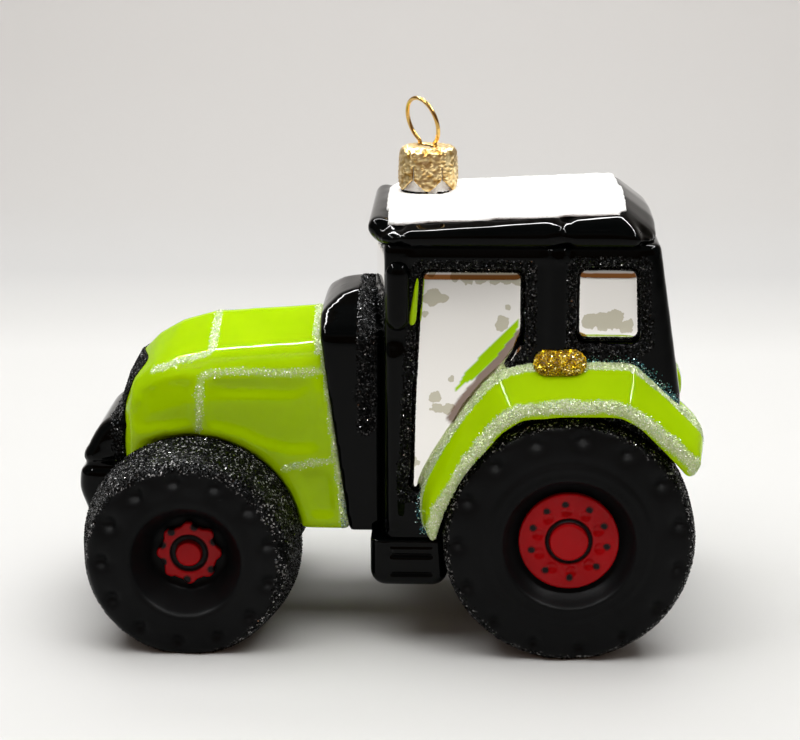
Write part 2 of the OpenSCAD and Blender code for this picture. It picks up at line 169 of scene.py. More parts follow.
def start_material(name: str) -> bpy.types.Material:
    """Makes an empty node material.

    Args:
        name: The finish's name.

    Returns:
        The material, with no nodes yet.
    """
    material = bpy.data.materials.new(name)
    material.use_nodes = True
    material.node_tree.nodes.clear()
    return material


@dataclass(frozen=True)
class Lacquer:
    """Lacquer brushed over blown glass, with a bed of tinted varnish wherever glitter was strewn, and painted
    glints in that bed.

    Attributes:
        name: The material's name.
        full: Colour of a full coat.
        thin: Colour where the brush left less.
        bed: Colour of the varnish between glitter flakes.
        roughness: Of the bare lacquer.
        specular: Level of its reflection.
        ripple: Strength of the glass's slow waves.
        grain: Strength of a fine tooth in the coat.
        painted_glint: Colour of the brightest specks in that bed, painted glints that stand in for the
            flakes' sparkle.
        facets: How far its specks lean; none means that the bed is plain paint.
        speck: Breadth of a speck.
        bed_roughness: Of the bed.
        bed_grain: Strength of the tooth in the bed.
        brush: Breadth of the clouds that the brush left.
        wave: Breadth of the glass's waves.
        tooth: Breadth of the tooth, finer in the real coat and drawn coarser so that it shows.
    """

    name: str
    full: str
    thin: str
    bed: str
    roughness: float
    specular: float
    ripple: float
    grain: float = 0.0
    painted_glint: str = "#d4d4d4"
    facets: float = 1.2
    speck: float = 0.3
    bed_roughness: float = 0.35
    bed_grain: float = 0.8
    brush: float = 9.0
    wave: float = 7.0
    tooth: float = 0.4

    def material(self) -> bpy.types.Material:
        """Builds the lacquer: wet reflections that wander with the glass, a coat that varies a little, and
        painted glints in the glitter's bed.

        Returns:
            The material.
        """
        material = start_material(self.name)
        tree = material.node_tree
        place = add(tree, "ShaderNodeTexCoord").outputs["Object"]
        glitter = add(tree, "ShaderNodeAttribute", attribute_name=Mask.GLITTER.value).outputs["Fac"]
        cloud = add(tree, "ShaderNodeTexNoise", {"Vector": place, "Scale": per_mm(self.brush), "Detail": 2.0})
        coat = add(tree, "ShaderNodeValToRGB", {"Fac": cloud.outputs["Fac"]},
                   [(0.36, self.full), (0.72, self.thin)])
        speck = add(tree, "ShaderNodeTexVoronoi", {"Vector": place, "Scale": per_mm(self.speck)})
        glint_pick = add(tree, "ShaderNodeSeparateColor", {"Color": speck.outputs["Color"]})
        # The bed's brightest specks take a pale colour: painted glints.
        bed = add(tree, "ShaderNodeValToRGB", {"Fac": glint_pick.outputs["Red"]},
                  [(0.84, self.bed), (1.0, self.painted_glint)])
        colour = add(tree, "ShaderNodeMix", {0: glitter, 6: coat.outputs["Color"], 7: bed.outputs["Color"]},
                     data_type="RGBA")
        rough = add(tree, "ShaderNodeMapRange",
                    {"Value": glitter, "To Min": self.roughness, "To Max": self.bed_roughness})
        wave = add(tree, "ShaderNodeTexNoise", {"Vector": place, "Scale": per_mm(self.wave), "Detail": 1.0})
        slow = add(tree, "ShaderNodeBump",
                   {"Height": wave.outputs["Fac"], "Strength": self.ripple, "Distance": 0.4 * MM})
        tooth = add(tree, "ShaderNodeTexNoise", {"Vector": place, "Scale": per_mm(self.tooth), "Detail": 1.0})
        depth = add(tree, "ShaderNodeMapRange",
                    {"Value": glitter, "To Min": self.grain, "To Max": self.bed_grain})
        fine = add(tree, "ShaderNodeBump", {"Height": tooth.outputs["Fac"], "Strength": depth.outputs[0],
                                            "Distance": 0.12 * MM, "Normal": slow.outputs["Normal"]})
        lean = add(tree, "ShaderNodeVectorMath", {0: speck.outputs["Color"], 1: (0.5, 0.5, 0.5)},
                   operation="SUBTRACT")
        share = add(tree, "ShaderNodeMath", {0: glitter, 1: self.facets}, operation="MULTIPLY")
        tip = add(tree, "ShaderNodeVectorMath", {0: lean.outputs["Vector"], "Scale": share.outputs[0]},
                  operation="SCALE")
        turned = add(tree, "ShaderNodeVectorMath", {0: fine.outputs["Normal"], 1: tip.outputs["Vector"]},
                     operation="ADD")
        normal = add(tree, "ShaderNodeVectorMath", {0: turned.outputs["Vector"]}, operation="NORMALIZE")
        shader = add(tree, "ShaderNodeBsdfPrincipled", {
            "Base Color": colour.outputs[2], "Roughness": rough.outputs[0], "IOR": 1.5,
            "Specular IOR Level": self.specular, "Normal": normal.outputs["Vector"]})
        add(tree, "ShaderNodeOutputMaterial", {"Surface": shader.outputs["BSDF"]})
        return material


@dataclass(frozen=True)
class SilveredGlass:
    """Bare glass silvered on the inside: a bright mirror, a little wavy, with thin patches in the silver and
    painted reflections on it.

    Attributes:
        name: The material's name.
        bright: Colour of whole silver.
        patch: Colour where it is thin.
        stain: Colour of the brown band along the fender, a painted reflection.
        leaf: Colour of the green patch, a painted reflection of the fender.
        ragged: How far a patch's edge wanders.
        edge: Breadth of the wander in that edge.
        wave: Breadth of the glass's waves.
        patches: Place along, height and radius of each patch.
    """

    name: str = "silvered_mirror"
    bright: str = "#f6f3ef"
    patch: str = "#c9c4b2"
    stain: str = "#6a4a38"
    leaf: str = "#9ccb0c"
    ragged: float = 1.1
    edge: float = 1.6
    wave: float = 10.0
    patches: tuple[tuple[float, float, float], ...] = (
        (9.0, 66.0, 1.5), (10.6, 65.7, 0.9), (7.7, 63.0, 0.5), (21.4, 61.4, 1.3), (22.5, 64.3, 0.3),
        (12.4, 51.1, 0.6), (9.6, 47.6, 1.2), (9.8, 45.7, 1.1), (12.0, 45.6, 1.0), (5.6, 35.2, 0.9),
        (9.0, 70.2, 0.7), (13.0, 69.9, 1.1), (15.2, 69.6, 1.5), (17.6, 69.6, 1.4), (20.0, 69.6, 1.5),
        (22.2, 69.6, 1.5), (24.2, 69.4, 1.6), (37.0, 61.8, 1.5), (39.4, 61.8, 1.8), (41.2, 62.2, 1.9),
        (43.4, 61.0, 1.3))

    def material(self) -> bpy.types.Material:
        """Builds the mirror with its blown waves and its ragged thin patches, and paints on it a brown
        reflection along the fender and a green reflection of the fender.

        Returns:
            The material.
        """
        material = start_material(self.name)
        tree = material.node_tree
        place = add(tree, "ShaderNodeTexCoord").outputs["Object"]
        flat = add(tree, "ShaderNodeVectorMath", {0: place, 1: (1, 0, 1)}, operation="MULTIPLY")
        nearest: bpy.types.NodeSocket | None = None
        for x, z, radius in self.patches:
            away = add(tree, "ShaderNodeVectorMath",
                       {0: flat.outputs["Vector"], 1: (x * MM, 0, z * MM)}, operation="DISTANCE")
            gap = add(tree, "ShaderNodeMath", {0: away.outputs["Value"], 1: radius * MM},
                      operation="SUBTRACT").outputs[0]
            if nearest is not None:
                gap = add(tree, "ShaderNodeMath", {0: nearest, 1: gap}, operation="MINIMUM").outputs[0]
            nearest = gap
        edge = add(tree, "ShaderNodeTexNoise", {"Vector": place, "Scale": per_mm(self.edge), "Detail": 3.0})
        shift = add(tree, "ShaderNodeMapRange", {"Value": edge.outputs["Fac"], "To Min": -self.ragged * MM,
                                                 "To Max": self.ragged * MM})
        bound = add(tree, "ShaderNodeMath", {0: nearest, 1: shift.outputs[0]}, operation="ADD")
        whole = add(tree, "ShaderNodeMath", {0: bound.outputs[0], 1: 0.0}, operation="GREATER_THAN")
        colour = add(tree, "ShaderNodeMix", {0: whole.outputs[0], 6: srgb(self.patch), 7: srgb(self.bright)},
                     data_type="RGBA")
        # Painted reflections: a brown band along the fender and the fender's green.
        for mask, tint in ((Mask.STAIN, self.stain), (Mask.LEAF, self.leaf)):
            amount = add(tree, "ShaderNodeAttribute", attribute_name=mask.value).outputs["Fac"]
            colour = add(tree, "ShaderNodeMix", {0: amount, 6: colour.outputs[2], 7: srgb(tint)},
                         data_type="RGBA")
        wave = add(tree, "ShaderNodeTexNoise", {"Vector": place, "Scale": per_mm(self.wave), "Detail": 0.0})
        bump = add(tree, "ShaderNodeBump",
                   {"Height": wave.outputs["Fac"], "Strength": 0.15, "Distance": 0.4 * MM})
        shader = add(tree, "ShaderNodeBsdfPrincipled", {
            "Base Color": colour.outputs[2], "Metallic": 1.0, "Roughness": 0.03,
            "Normal": bump.outputs["Normal"]})
        add(tree, "ShaderNodeOutputMaterial", {"Surface": shader.outputs["BSDF"]})
        return material


@dataclass(frozen=True)
class SnowCoat:
    """Thick white paint full of fine grit, dabbed on to look like snow: matt, pitted and very pale, with
    painted shade in its pits.
    """

    name: str = "snow_coat"
    crest: str = "#fbfbf9"
    pit_shade: str = "#ebeae7"
    grit: float = 0.5

    def material(self) -> bpy.types.Material:
        """Builds the matt coat with its grit, greyer in the grit's pits as painted shade.

        Returns:
            The material.
        """
        material = start_material(self.name)
        tree = material.node_tree
        place = add(tree, "ShaderNodeTexCoord").outputs["Object"]
        grit = add(tree, "ShaderNodeTexNoise", {"Vector": place, "Scale": per_mm(self.grit), "Detail": 3.0})
        # Greyer where the grit is low: painted shade in its pits.
        colour = add(tree, "ShaderNodeValToRGB", {"Fac": grit.outputs["Fac"]},
                     [(0.34, self.pit_shade), (0.46, self.crest)])
        bump = add(tree, "ShaderNodeBump",
                   {"Height": grit.outputs["Fac"], "Strength": 0.6, "Distance": 0.15 * MM})
        shader = add(tree, "ShaderNodeBsdfPrincipled", {
            "Base Color": colour.outputs["Color"], "Roughness": 0.85, "IOR": 1.5,
            "Normal": bump.outputs["Normal"]})
        add(tree, "ShaderNodeOutputMaterial", {"Surface": shader.outputs["BSDF"]})
        return material


@dataclass(frozen=True)
class FlakeFoil:
    """Glitter: flakes cut from coloured polyester foil, each one a tiny glint of its own tint."""

    name: str
    tints: Stops
    roughness: float = 0.22
    metallic: float = 1.0

    def material(self) -> bpy.types.Material:
        """Builds the foil, coloured flake by flake from the tint that each one carries.

        Returns:
            The material.
        """
        material = start_material(self.name)
        tree = material.node_tree
        tint = add(tree, "ShaderNodeAttribute", attribute_name="tint").outputs["Fac"]
        colour = add(tree, "ShaderNodeValToRGB", {"Fac": tint}, self.tints)
        colour.color_ramp.interpolation = "CONSTANT"
        shader = add(tree, "ShaderNodeBsdfPrincipled", {
            "Base Color": colour.outputs["Color"], "Metallic": self.metallic, "Roughness": self.roughness})
        add(tree, "ShaderNodeOutputMaterial", {"Surface": shader.outputs["BSDF"]})
        return material


@dataclass(frozen=True)
class GoldTin:
    """Thin tinplate or wire under gold lacquer: warm metal, darker where the stamping is deep as painted
    shade.

    Attributes:
        name: The material's name.
        crest: Colour of the metal's crests.
        pit_shade: Colour of its pits, painted shade.
        roughness: Of the lacquer.
        pebble: Breadth of a pebble in the stamping.
        depth: Strength of the pebbles.
    """

    name: str
    crest: str
    pit_shade: str
    roughness: float
    pebble: float
    depth: float

    def material(self) -> bpy.types.Material:
        """Builds the gold lacquer with its pebbled stamping, darker in the pebbles' pits as painted shade.

        Returns:
            The material.
        """
        material = start_material(self.name)
        tree = material.node_tree
        place = add(tree, "ShaderNodeTexCoord").outputs["Object"]
        pebble = add(tree, "ShaderNodeTexVoronoi", {"Vector": place, "Scale": per_mm(self.pebble)},
                     feature="SMOOTH_F1")
        # Darker in the pebbles' pits: painted shade.
        colour = add(tree, "ShaderNodeValToRGB", {"Fac": pebble.outputs["Distance"]},
                     [(0.25, self.crest), (0.75, self.pit_shade)])
        bump = add(tree, "ShaderNodeBump", {"Height": pebble.outputs["Distance"], "Strength": self.depth,
                                            "Distance": 0.15 * MM}, invert=True)
        shader = add(tree, "ShaderNodeBsdfPrincipled", {
            "Base Color": colour.outputs["Color"], "Metallic": 1.0, "Roughness": self.roughness,
            "Normal": bump.outputs["Normal"]})
        add(tree, "ShaderNodeOutputMaterial", {"Surface": shader.outputs["BSDF"]})
        return material


@dataclass(frozen=True)
class StudioPaper:
    """Matt paper, white under the ornament and greyer where it sweeps up behind, that grey being painted
    shade.

    Attributes:
        name: The material's name.
        span: Where the shading begins and ends, in millimetres from the origin towards the back.
        painted_shades: The paper's colour along that span, darkened as painted shade.
    """

    name: str = "studio_paper"
    span: tuple[float, float] = (100.0, 600.0)
    painted_shades: Stops = (
        (0.0, "#dededc"), (0.2, "#dededc"), (0.28, "#d6d6d4"), (0.42, "#cccccb"), (0.72, "#cfcecc"))

    def material(self) -> bpy.types.Material:
        """Builds the matt paper with its painted shade.

        Returns:
            The material.
        """
        material = start_material(self.name)
        tree = material.node_tree
        place = add(tree, "ShaderNodeTexCoord").outputs["Object"]
        split = add(tree, "ShaderNodeSeparateXYZ", {"Vector": place})
        along = add(tree, "ShaderNodeMapRange", {"Value": split.outputs["Y"], "From Min": self.span[0] * MM,
                                                 "From Max": self.span[1] * MM})
        # The paper greys along its sweep: painted shade.
        colour = add(tree, "ShaderNodeValToRGB", {"Fac": along.outputs[0]}, self.painted_shades)
        shader = add(tree, "ShaderNodeBsdfDiffuse", {"Color": colour.outputs["Color"]})
        add(tree, "ShaderNodeOutputMaterial", {"Surface": shader.outputs["BSDF"]})
        return material


class Finish(Enum):
    """The ornament's finishes."""

    # Each lacquer's bed specks carry a pale colour as painted glints; red's match its bed, so red has none.
    GREEN = Lacquer("green_gloss", "#a6d000", "#aed604", "#cfe2a0", 0.04, 0.12, 0.16, painted_glint="#f6fae6")
    BLACK = Lacquer("black_gloss", "#010202", "#030404", "#040505", 0.03, 0.09, 0.12, painted_glint="#7a7a7a")
    SATIN = Lacquer("black_satin", "#0b0c0d", "#101112", "#040505", 0.4, 0.07, 0.1, 0.08)
    RED = Lacquer("red_gloss", "#9a0208", "#ac060d", "#140c0d", 0.06, 0.12, 0.15, painted_glint="#140c0d", facets=0.0)
    AMBER = Lacquer("amber_varnish", "#8a6a10", "#9a7814", "#7a5c10", 0.3, 0.3, 0.1, painted_glint="#f4d860")
    SILVER = SilveredGlass()
    SNOW = SnowCoat()
    PEARL = FlakeFoil("pearl_foil", ((0.0, "#d2e0a6"), (0.3, "#e6eeca"), (0.55, "#c4d996"),
                                     (0.8, "#fafcf2"), (0.93, "#b8d8ae")), 0.42, 0.2)
    TEAL = FlakeFoil("teal_foil", ((0.0, "#4c8287"), (0.3, "#8fbdbb"), (0.5, "#2c5b66"),
                                   (0.8, "#d4ecec"), (0.92, "#62a198")), 0.3)
    JET = FlakeFoil("jet_foil", ((0.0, "#151617"), (0.4, "#252627"), (0.68, "#0a0b0b"),
                                 (0.95, "#5a5b5b"), (0.985, "#f0f0f0")))
    GOLD = FlakeFoil("gold_foil", ((0.0, "#e4c022"), (0.35, "#fbe048"), (0.6, "#c4a01a"),
                                   (0.85, "#fff4b4")), 0.3)
    TIN = GoldTin("stamped_tin", "#f4dda6", "#b78c42", 0.32, 0.75, 0.5)
    WIRE = GoldTin("loop_wire", "#d9b268", "#c79c4e", 0.14, 0.6, 0.05)

    @cache
    def material(self) -> bpy.types.Material:
        """Gives the finish's material, made on first use."""
        return self.value.material()


def rise(values: np.ndarray, start: float, end: float) -> np.ndarray:
    """Rises evenly from zero at the start to one at the end.

    Args:
        values: What rises.
        start: Up to where the result is zero.
        end: From where it is one.

    Returns:
        From zero to one.
    """
    return np.clip((values - start) / (end - start), 0, 1)


def hump(away: np.ndarray, half: float) -> np.ndarray:
    """Gives a soft hump, one at its middle, from the distance to it and its half breadth."""
    return np.exp(-(away / half) ** 2)


def ripples(spots: np.ndarray, *waves: tuple[float, float]) -> np.ndarray:
    """Draws smooth wandering heights over a surface.

    Args:
        spots: Points of the surface, one a row.
        *waves: How fine each layer of waves is, in waves a millimetre, and how high.

    Returns:
        One height a point.
    """
    return np.array([sum(high * noise.noise(Vector(spot) * fine) for fine, high in waves) for spot in spots])


def outline_distance(spots: np.ndarray, outline: Outline, closed: bool) -> np.ndarray:
    """Measures how far spots lie from a line of straight runs.

    Args:
        spots: Two coordinates a row.
        outline: The line's corners.
        closed: Whether the last corner joins the first.

    Returns:
        The distance of each spot from the nearest run.
    """
    corners = np.array(list(outline) + ([outline[0]] if closed else []))
    best = np.full(len(spots), np.inf)
    for start, end in zip(corners[:-1], corners[1:]):
        run = end - start
        along = np.clip((spots - start) @ run / (run @ run), 0, 1)
        best = np.minimum(best, np.linalg.norm(spots - start - along[:, None] * run, axis=1))
    return best


def inside_outline(spots: np.ndarray, outline: Outline) -> np.ndarray:
    """Tells which spots lie inside a closed outline.

    Args:
        spots: Two coordinates a row.
        outline: The outline's corners.

    Returns:
        True for each spot inside.
    """
    inside = np.zeros(len(spots), dtype=bool)
    for (x0, y0), (x1, y1) in zip(outline, [*outline[1:], outline[0]]):
        if y0 == y1:
            continue
        crosses = (spots[:, 1] > min(y0, y1)) & (spots[:, 1] <= max(y0, y1))
        at = x0 + (spots[:, 1] - y0) * (x1 - x0) / (y1 - y0)
        inside ^= crosses & (spots[:, 0] < at)
    return inside


@dataclass(frozen=True)
class GlitterLine:
    """A brushed line of glitter, the same on both sides of the ornament.

    Attributes:
        plane: The plane in which it is drawn.
        points: Its corners.
        width: Its breadth.
        reach: Least and greatest distance across the plane at which the surface takes it.
        closed: Whether it returns to its first corner.
        outside: Whether it keeps to the outside of its closed outline.
        coat: How full it is, where one is a full coat.
        waver: How fine and how strong the wander in its breadth is.
        fade: Half the breadth over which its edge fades.
    """

    plane: Plane
    points: Outline
    width: float
    reach: tuple[float, float]
    closed: bool = False
    outside: bool = False
    coat: float = 1.0
    waver: tuple[tuple[float, float], ...] = ((0.9, 0.3), (0.25, 0.3))
    fade: float = 0.15

    def cover(self, spots: np.ndarray) -> np.ndarray:
        """Works out how much of this line lies on each spot of a surface.

        Args:
            spots: Points of the surface, one a row.

        Returns:
            From zero, bare, to one, full of glitter.
        """
        first, second, across = self.plane.value
        folded = spots.copy()
        folded[:, 1] = np.abs(folded[:, 1])
        flat = folded[:, (first, second)]
        away = outline_distance(flat, self.points, self.closed)
        near = np.flatnonzero(away < self.width)
        wander = np.zeros(len(spots))
        wander[near] = ripples(spots[near], *self.waver)
        half = self.width * (1.0 if self.outside else 0.5) * (1 + wander)
        amount = rise(half - away, -self.fade, self.fade)
        if self.outside:
            amount[inside_outline(flat, self.points)] = 0
        depth = np.abs(folded[:, across])
        amount[(depth < self.reach[0]) | (depth > self.reach[1])] = 0
        return amount * self.coat


def read_points(mesh: bpy.types.Mesh) -> np.ndarray:
    """Reads where a mesh's points are.

    Args:
        mesh: The mesh, in metres.

    Returns:
        Places in millimetres, one a row.
    """
    flat = np.empty(len(mesh.vertices) * 3, dtype=np.float32)
    mesh.vertices.foreach_get("co", flat)
    return flat.reshape(-1, 3).astype(float) / MM


def read_normals(mesh: bpy.types.Mesh) -> np.ndarray:
    """Reads which way a mesh's points face.

    Args:
        mesh: The mesh.

    Returns:
        Directions, one a row.
    """
    flat = np.empty(len(mesh.vertices) * 3, dtype=np.float32)
    mesh.vertices.foreach_get("normal", flat)
    return flat.reshape(-1, 3).astype(float)


def write_points(mesh: bpy.types.Mesh, spots: np.ndarray) -> None:
    """Moves a mesh's points.

    Args:
        mesh: The mesh, in metres.
        spots: The new places in millimetres, one a row.
    """
    mesh.vertices.foreach_set("co", (spots * MM).astype(np.float32).ravel())
    mesh.update()


def write_mask(mesh: bpy.types.Mesh, mask: Mask, values: np.ndarray) -> None:
    """Stores one number a point on a mesh.

    Args:
        mesh: The mesh.
        mask: What the numbers mark.
        values: One value a point.
    """
    layer = mesh.attributes.new(mask.value, "FLOAT", "POINT")
    layer.data.foreach_set("value", values.astype(np.float32))


def new_piece(name: str, shape: bpy.types.Mesh | bmesh.types.BMesh) -> bpy.types.Object:
    """Makes a piece of a finished shape.

    Args:
        name: The piece's name.
        shape: A mesh, or a shape under construction, which is used up.

    Returns:
        The piece, in the scene.
    """
    mesh = shape
    if isinstance(shape, bmesh.types.BMesh):
        mesh = bpy.data.meshes.new(name)
        shape.to_mesh(mesh)
        shape.free()
    mesh.name = name
    piece = bpy.data.objects.new(name, mesh)
    bpy.context.collection.objects.link(piece)
    return piece


def evaluated_mesh(thing: bpy.types.Object) -> bpy.types.Mesh:
    """Turns an object with modifiers into a plain mesh.

    Args:
        thing: The object.

    Returns:
        A new mesh with the modifiers in it.
    """
    graph = bpy.context.evaluated_depsgraph_get()
    return bpy.data.meshes.new_from_object(thing.evaluated_get(graph))


def settle(thing: bpy.types.Object) -> None:
    """Makes an object's modifiers a part of its mesh.

    Args:
        thing: The object, whose former mesh goes.
    """
    former = thing.data
    thing.data = evaluated_mesh(thing)
    thing.modifiers.clear()
    bpy.data.meshes.remove(former)
    thing.data.name = thing.name


@dataclass(frozen=True)
class Flakes:
    """How thickly glitter lies.

    Attributes:
        finish: The foil.
        per_mm2: Flakes on each square millimetre of a full line.
        size: Breadth of a flake.
        tilt: Greatest lean of a flake off the surface, in degrees.
    """

    finish: Finish
    per_mm2: float
    size: float
    tilt: float


PEARL_FLAKES = Flakes(Finish.PEARL, 20.0, 0.3, 38.0)
TEAL_FLAKES = Flakes(Finish.TEAL, 20.0, 0.29, 38.0)
JET_FLAKES = Flakes(Finish.JET, 8.0, 0.34, 45.0)
FRAME_FLAKES = Flakes(Finish.JET, 14.0, 0.34, 50.0)
GOLD_FLAKES = Flakes(Finish.GOLD, 20.0, 0.4, 60.0)


class GlitterScatter:
    """Geometry Nodes that strew foil flakes over a surface, where a mask on it says so.

    Attributes:
        CORNERS: How many corners a flake has.
        LIFT: How far a flake stands off the surface.
        TURN: Greatest turn of a flake on the surface, in radians.
        SIZES: Smallest and largest flake, against the size that is asked for.
        SIZE_SEED: Seed of the flakes' sizes.
        TINT_SEED: Seed of their tints.
    """

    CORNERS = 4
    LIFT = 0.08
    TURN = 3.1
    SIZES = (0.65, 1.15)
    SIZE_SEED = 5
    TINT_SEED = 9

    def __init__(self) -> None:
        """Builds the tree."""
        tree = bpy.data.node_groups.new("glitter_scatter", "GeometryNodeTree")
        face = tree.interface
        for name, kind in (("Surface", "Geometry"), ("Mask", "String"), ("Density", "Float"),
                           ("Size", "Float"), ("Tilt", "Float"), ("Corners", "Int"), ("Seed", "Int"),
                           ("Foil", "Material")):
            face.new_socket(name=name, in_out="INPUT", socket_type="NodeSocket" + kind)
        face.new_socket(name="Flakes", in_out="OUTPUT", socket_type="NodeSocketGeometry")
        given = add(tree, "NodeGroupInput").outputs
        mask = add(tree, "GeometryNodeInputNamedAttribute", {"Name": given["Mask"]}, data_type="FLOAT")
        density = add(tree, "ShaderNodeMath", {0: mask.outputs["Attribute"], 1: given["Density"]},
                      operation="MULTIPLY")
        spots = add(tree, "GeometryNodeDistributePointsOnFaces",
                    {"Mesh": given["Surface"], "Density": density.outputs[0], "Seed": given["Seed"]})
        flake = add(tree, "GeometryNodeMeshCircle", {"Vertices": given["Corners"], "Radius": given["Size"]},
                    fill_type="NGON")
        lower = add(tree, "ShaderNodeMath", {0: given["Tilt"], 1: -1.0}, operation="MULTIPLY")
        least = add(tree, "ShaderNodeCombineXYZ",
                    {"X": lower.outputs[0], "Y": lower.outputs[0], "Z": -self.TURN})
        most = add(tree, "ShaderNodeCombineXYZ", {"X": given["Tilt"], "Y": given["Tilt"], "Z": self.TURN})
        lean = add(tree, "FunctionNodeRandomValue",
                   {0: least.outputs[0], 1: most.outputs[0], "Seed": given["Seed"]}, data_type="FLOAT_VECTOR")
        turn = add(tree, "FunctionNodeEulerToRotation", {"Euler": lean.outputs[0]})
        rotation = add(tree, "FunctionNodeRotateRotation",
                       {"Rotation": spots.outputs["Rotation"], "Rotate By": turn.outputs["Rotation"]},
                       rotation_space="LOCAL")
        scale = add(tree, "FunctionNodeRandomValue",
                    {2: self.SIZES[0], 3: self.SIZES[1], "Seed": self.SIZE_SEED}, data_type="FLOAT")
        lift = add(tree, "ShaderNodeVectorMath", {0: spots.outputs["Normal"], "Scale": self.LIFT * MM},
                   operation="SCALE")
        raised = add(tree, "GeometryNodeSetPosition",
                     {"Geometry": spots.outputs["Points"], "Offset": lift.outputs["Vector"]})
        strewn = add(tree, "GeometryNodeInstanceOnPoints", {
            "Points": raised.outputs["Geometry"], "Instance": flake.outputs["Mesh"],
            "Rotation": rotation.outputs["Rotation"], "Scale": scale.outputs[1]})
        tint = add(tree, "FunctionNodeRandomValue", {2: 0.0, 3: 1.0, "Seed": self.TINT_SEED},
                   data_type="FLOAT")
        tinted = add(tree, "GeometryNodeStoreNamedAttribute",
                     {"Geometry": strewn.outputs["Instances"], "Name": "tint", "Value": tint.outputs[1]},
                     data_type="FLOAT", domain="INSTANCE")
        real = add(tree, "GeometryNodeRealizeInstances", {"Geometry": tinted.outputs["Geometry"]})
        foiled = add(tree, "GeometryNodeSetMaterial",
                     {"Geometry": real.outputs["Geometry"], "Material": given["Foil"]})
        add(tree, "NodeGroupOutput", {"Flakes": foiled.outputs["Geometry"]})
        self.tree = tree
        self.sockets = {item.name: item.identifier for item in face.items_tree if item.in_out == "INPUT"}

    def strew(self, name: str, surface: bpy.types.Object, mask: Mask, flakes: Flakes) -> bpy.types.Object:
        """Strews glitter over one surface.

        Args:
            name: Name of the new piece.
            surface: What carries the glitter.
            mask: Where it lies.
            flakes: How thickly, and of what foil.

        Returns:
            The flakes, as one plain mesh.
        """
        host = bpy.data.objects.new(name + "_host", surface.data)
        bpy.context.collection.objects.link(host)
        modifier = host.modifiers.new("strew", "NODES")
        modifier.node_group = self.tree
        for socket, value in (
                ("Mask", mask.value), ("Density", flakes.per_mm2 / MM ** 2), ("Size", flakes.size * MM / 2),
                ("Tilt", math.radians(flakes.tilt)), ("Corners", self.CORNERS),
                ("Seed", sum(map(ord, name))), ("Foil", flakes.finish.material())):
            modifier[self.sockets[socket]] = value
        mesh = evaluated_mesh(host)
        bpy.data.objects.remove(host)
        return new_piece(name, mesh)


@dataclass(frozen=True)
class Softness:
    """How a solid is softened into blown glass.

    Attributes:
        grid: Spacing of the new skin's points.
        passes: How often the skin is smoothed.
        swell: How far it is blown out afterwards.
    """

    grid: float
    passes: int
    swell: float = 0.0


class Workshop:
    """The bench at which the ornament's pieces are softened, dressed and fastened to their bodies.

    Attributes:
        WELD: How near two points of a solid are when they are one.
    """

    WELD = 0.002

    def __init__(self, frame: dict[str, Any]) -> None:
        """Sets up the bench.

        Args:
            frame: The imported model.
        """
        self.frame = frame
        self.scatter = GlitterScatter()

    def soften(self, node: str, softness: Softness,
               form: Callable[[np.ndarray], np.ndarray] | None = None) -> bpy.types.Object:
        """Makes a soft-edged glass skin from a solid, which it stands for.

        Args:
            node: The solid's name.
            softness: How soft it becomes.
            form: Reshapes the skin's points, in millimetres, before they are smoothed.

        Returns:
            The new piece.
        """
        solid = self.frame["nodes"][node]
        mesh = solid.data.copy()
        mesh.transform(solid.matrix_world)
        mesh.materials.clear()
        work = bmesh.new()
        work.from_mesh(mesh)
        bmesh.ops.scale(work, vec=(1 / MM,) * 3, verts=work.verts)
        bmesh.ops.remove_doubles(work, verts=work.verts, dist=self.WELD)
        work.to_mesh(mesh)
        work.free()
        piece = new_piece(node + "_glass", mesh)
        remesh = piece.modifiers.new("grid", "REMESH")
        remesh.mode = "VOXEL"
        remesh.voxel_size = softness.grid
        settle(piece)
        piece.data.transform(Matrix.Scale(MM, 4))
        if form is not None:
            write_points(piece.data, form(read_points(piece.data)))
        smooth = piece.modifiers.new("smooth", "SMOOTH")
        smooth.factor = 0.5
        smooth.iterations = softness.passes
        if softness.swell:
            swell = piece.modifiers.new("swell", "DISPLACE")
            swell.strength = softness.swell * MM
            swell.mid_level = 0.0
        settle(piece)
        piece.data.shade_smooth()
        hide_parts(node)
        return piece

    def dress(self, piece: bpy.types.Object, finish: Finish, slot: str, body: str = "glass") -> None:
        """Gives a piece its finish and fastens it to a body.

        Args:
            piece: The piece.
            finish: Its finish.
            slot: The record's material slot that this finish belongs to; not used.
            body: The body that carries it.
        """
        piece.data.materials.clear()
        piece.data.materials.append(finish.material())
        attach(piece, body)
        LOG.info("%s: %d faces", piece.name, len(piece.data.polygons))

    def paint(self, piece: bpy.types.Object, lines: Sequence[GlitterLine], mask: Mask = Mask.GLITTER) -> None:
        """Marks where lines of glitter lie on a piece.

        Args:
            piece: The piece.
            lines: The lines.
            mask: What they are marked as.
        """
        spots = read_points(piece.data)
        amount = np.zeros(len(spots))
        for line in lines:
            amount = np.maximum(amount, line.cover(spots))
        write_mask(piece.data, mask, amount)

    def paint_all(self, piece: bpy.types.Object) -> None:
        """Marks a whole piece for glitter."""
        write_mask(piece.data, Mask.GLITTER, np.ones(len(piece.data.vertices)))

    def strew(self, name: str, surface: bpy.types.Object, flakes: Flakes, slot: str,
              mask: Mask = Mask.GLITTER) -> None:
        """Strews glitter over a piece's marked places.

        Args:
            name: Name of the glitter.
            surface: The piece under it.
            flakes: How thickly it lies.
            slot: The record's slot that the glitter belongs to.
            mask: What marks the places.
        """
        self.dress(self.scatter.strew(name, surface, mask, flakes), flakes.finish, slot)


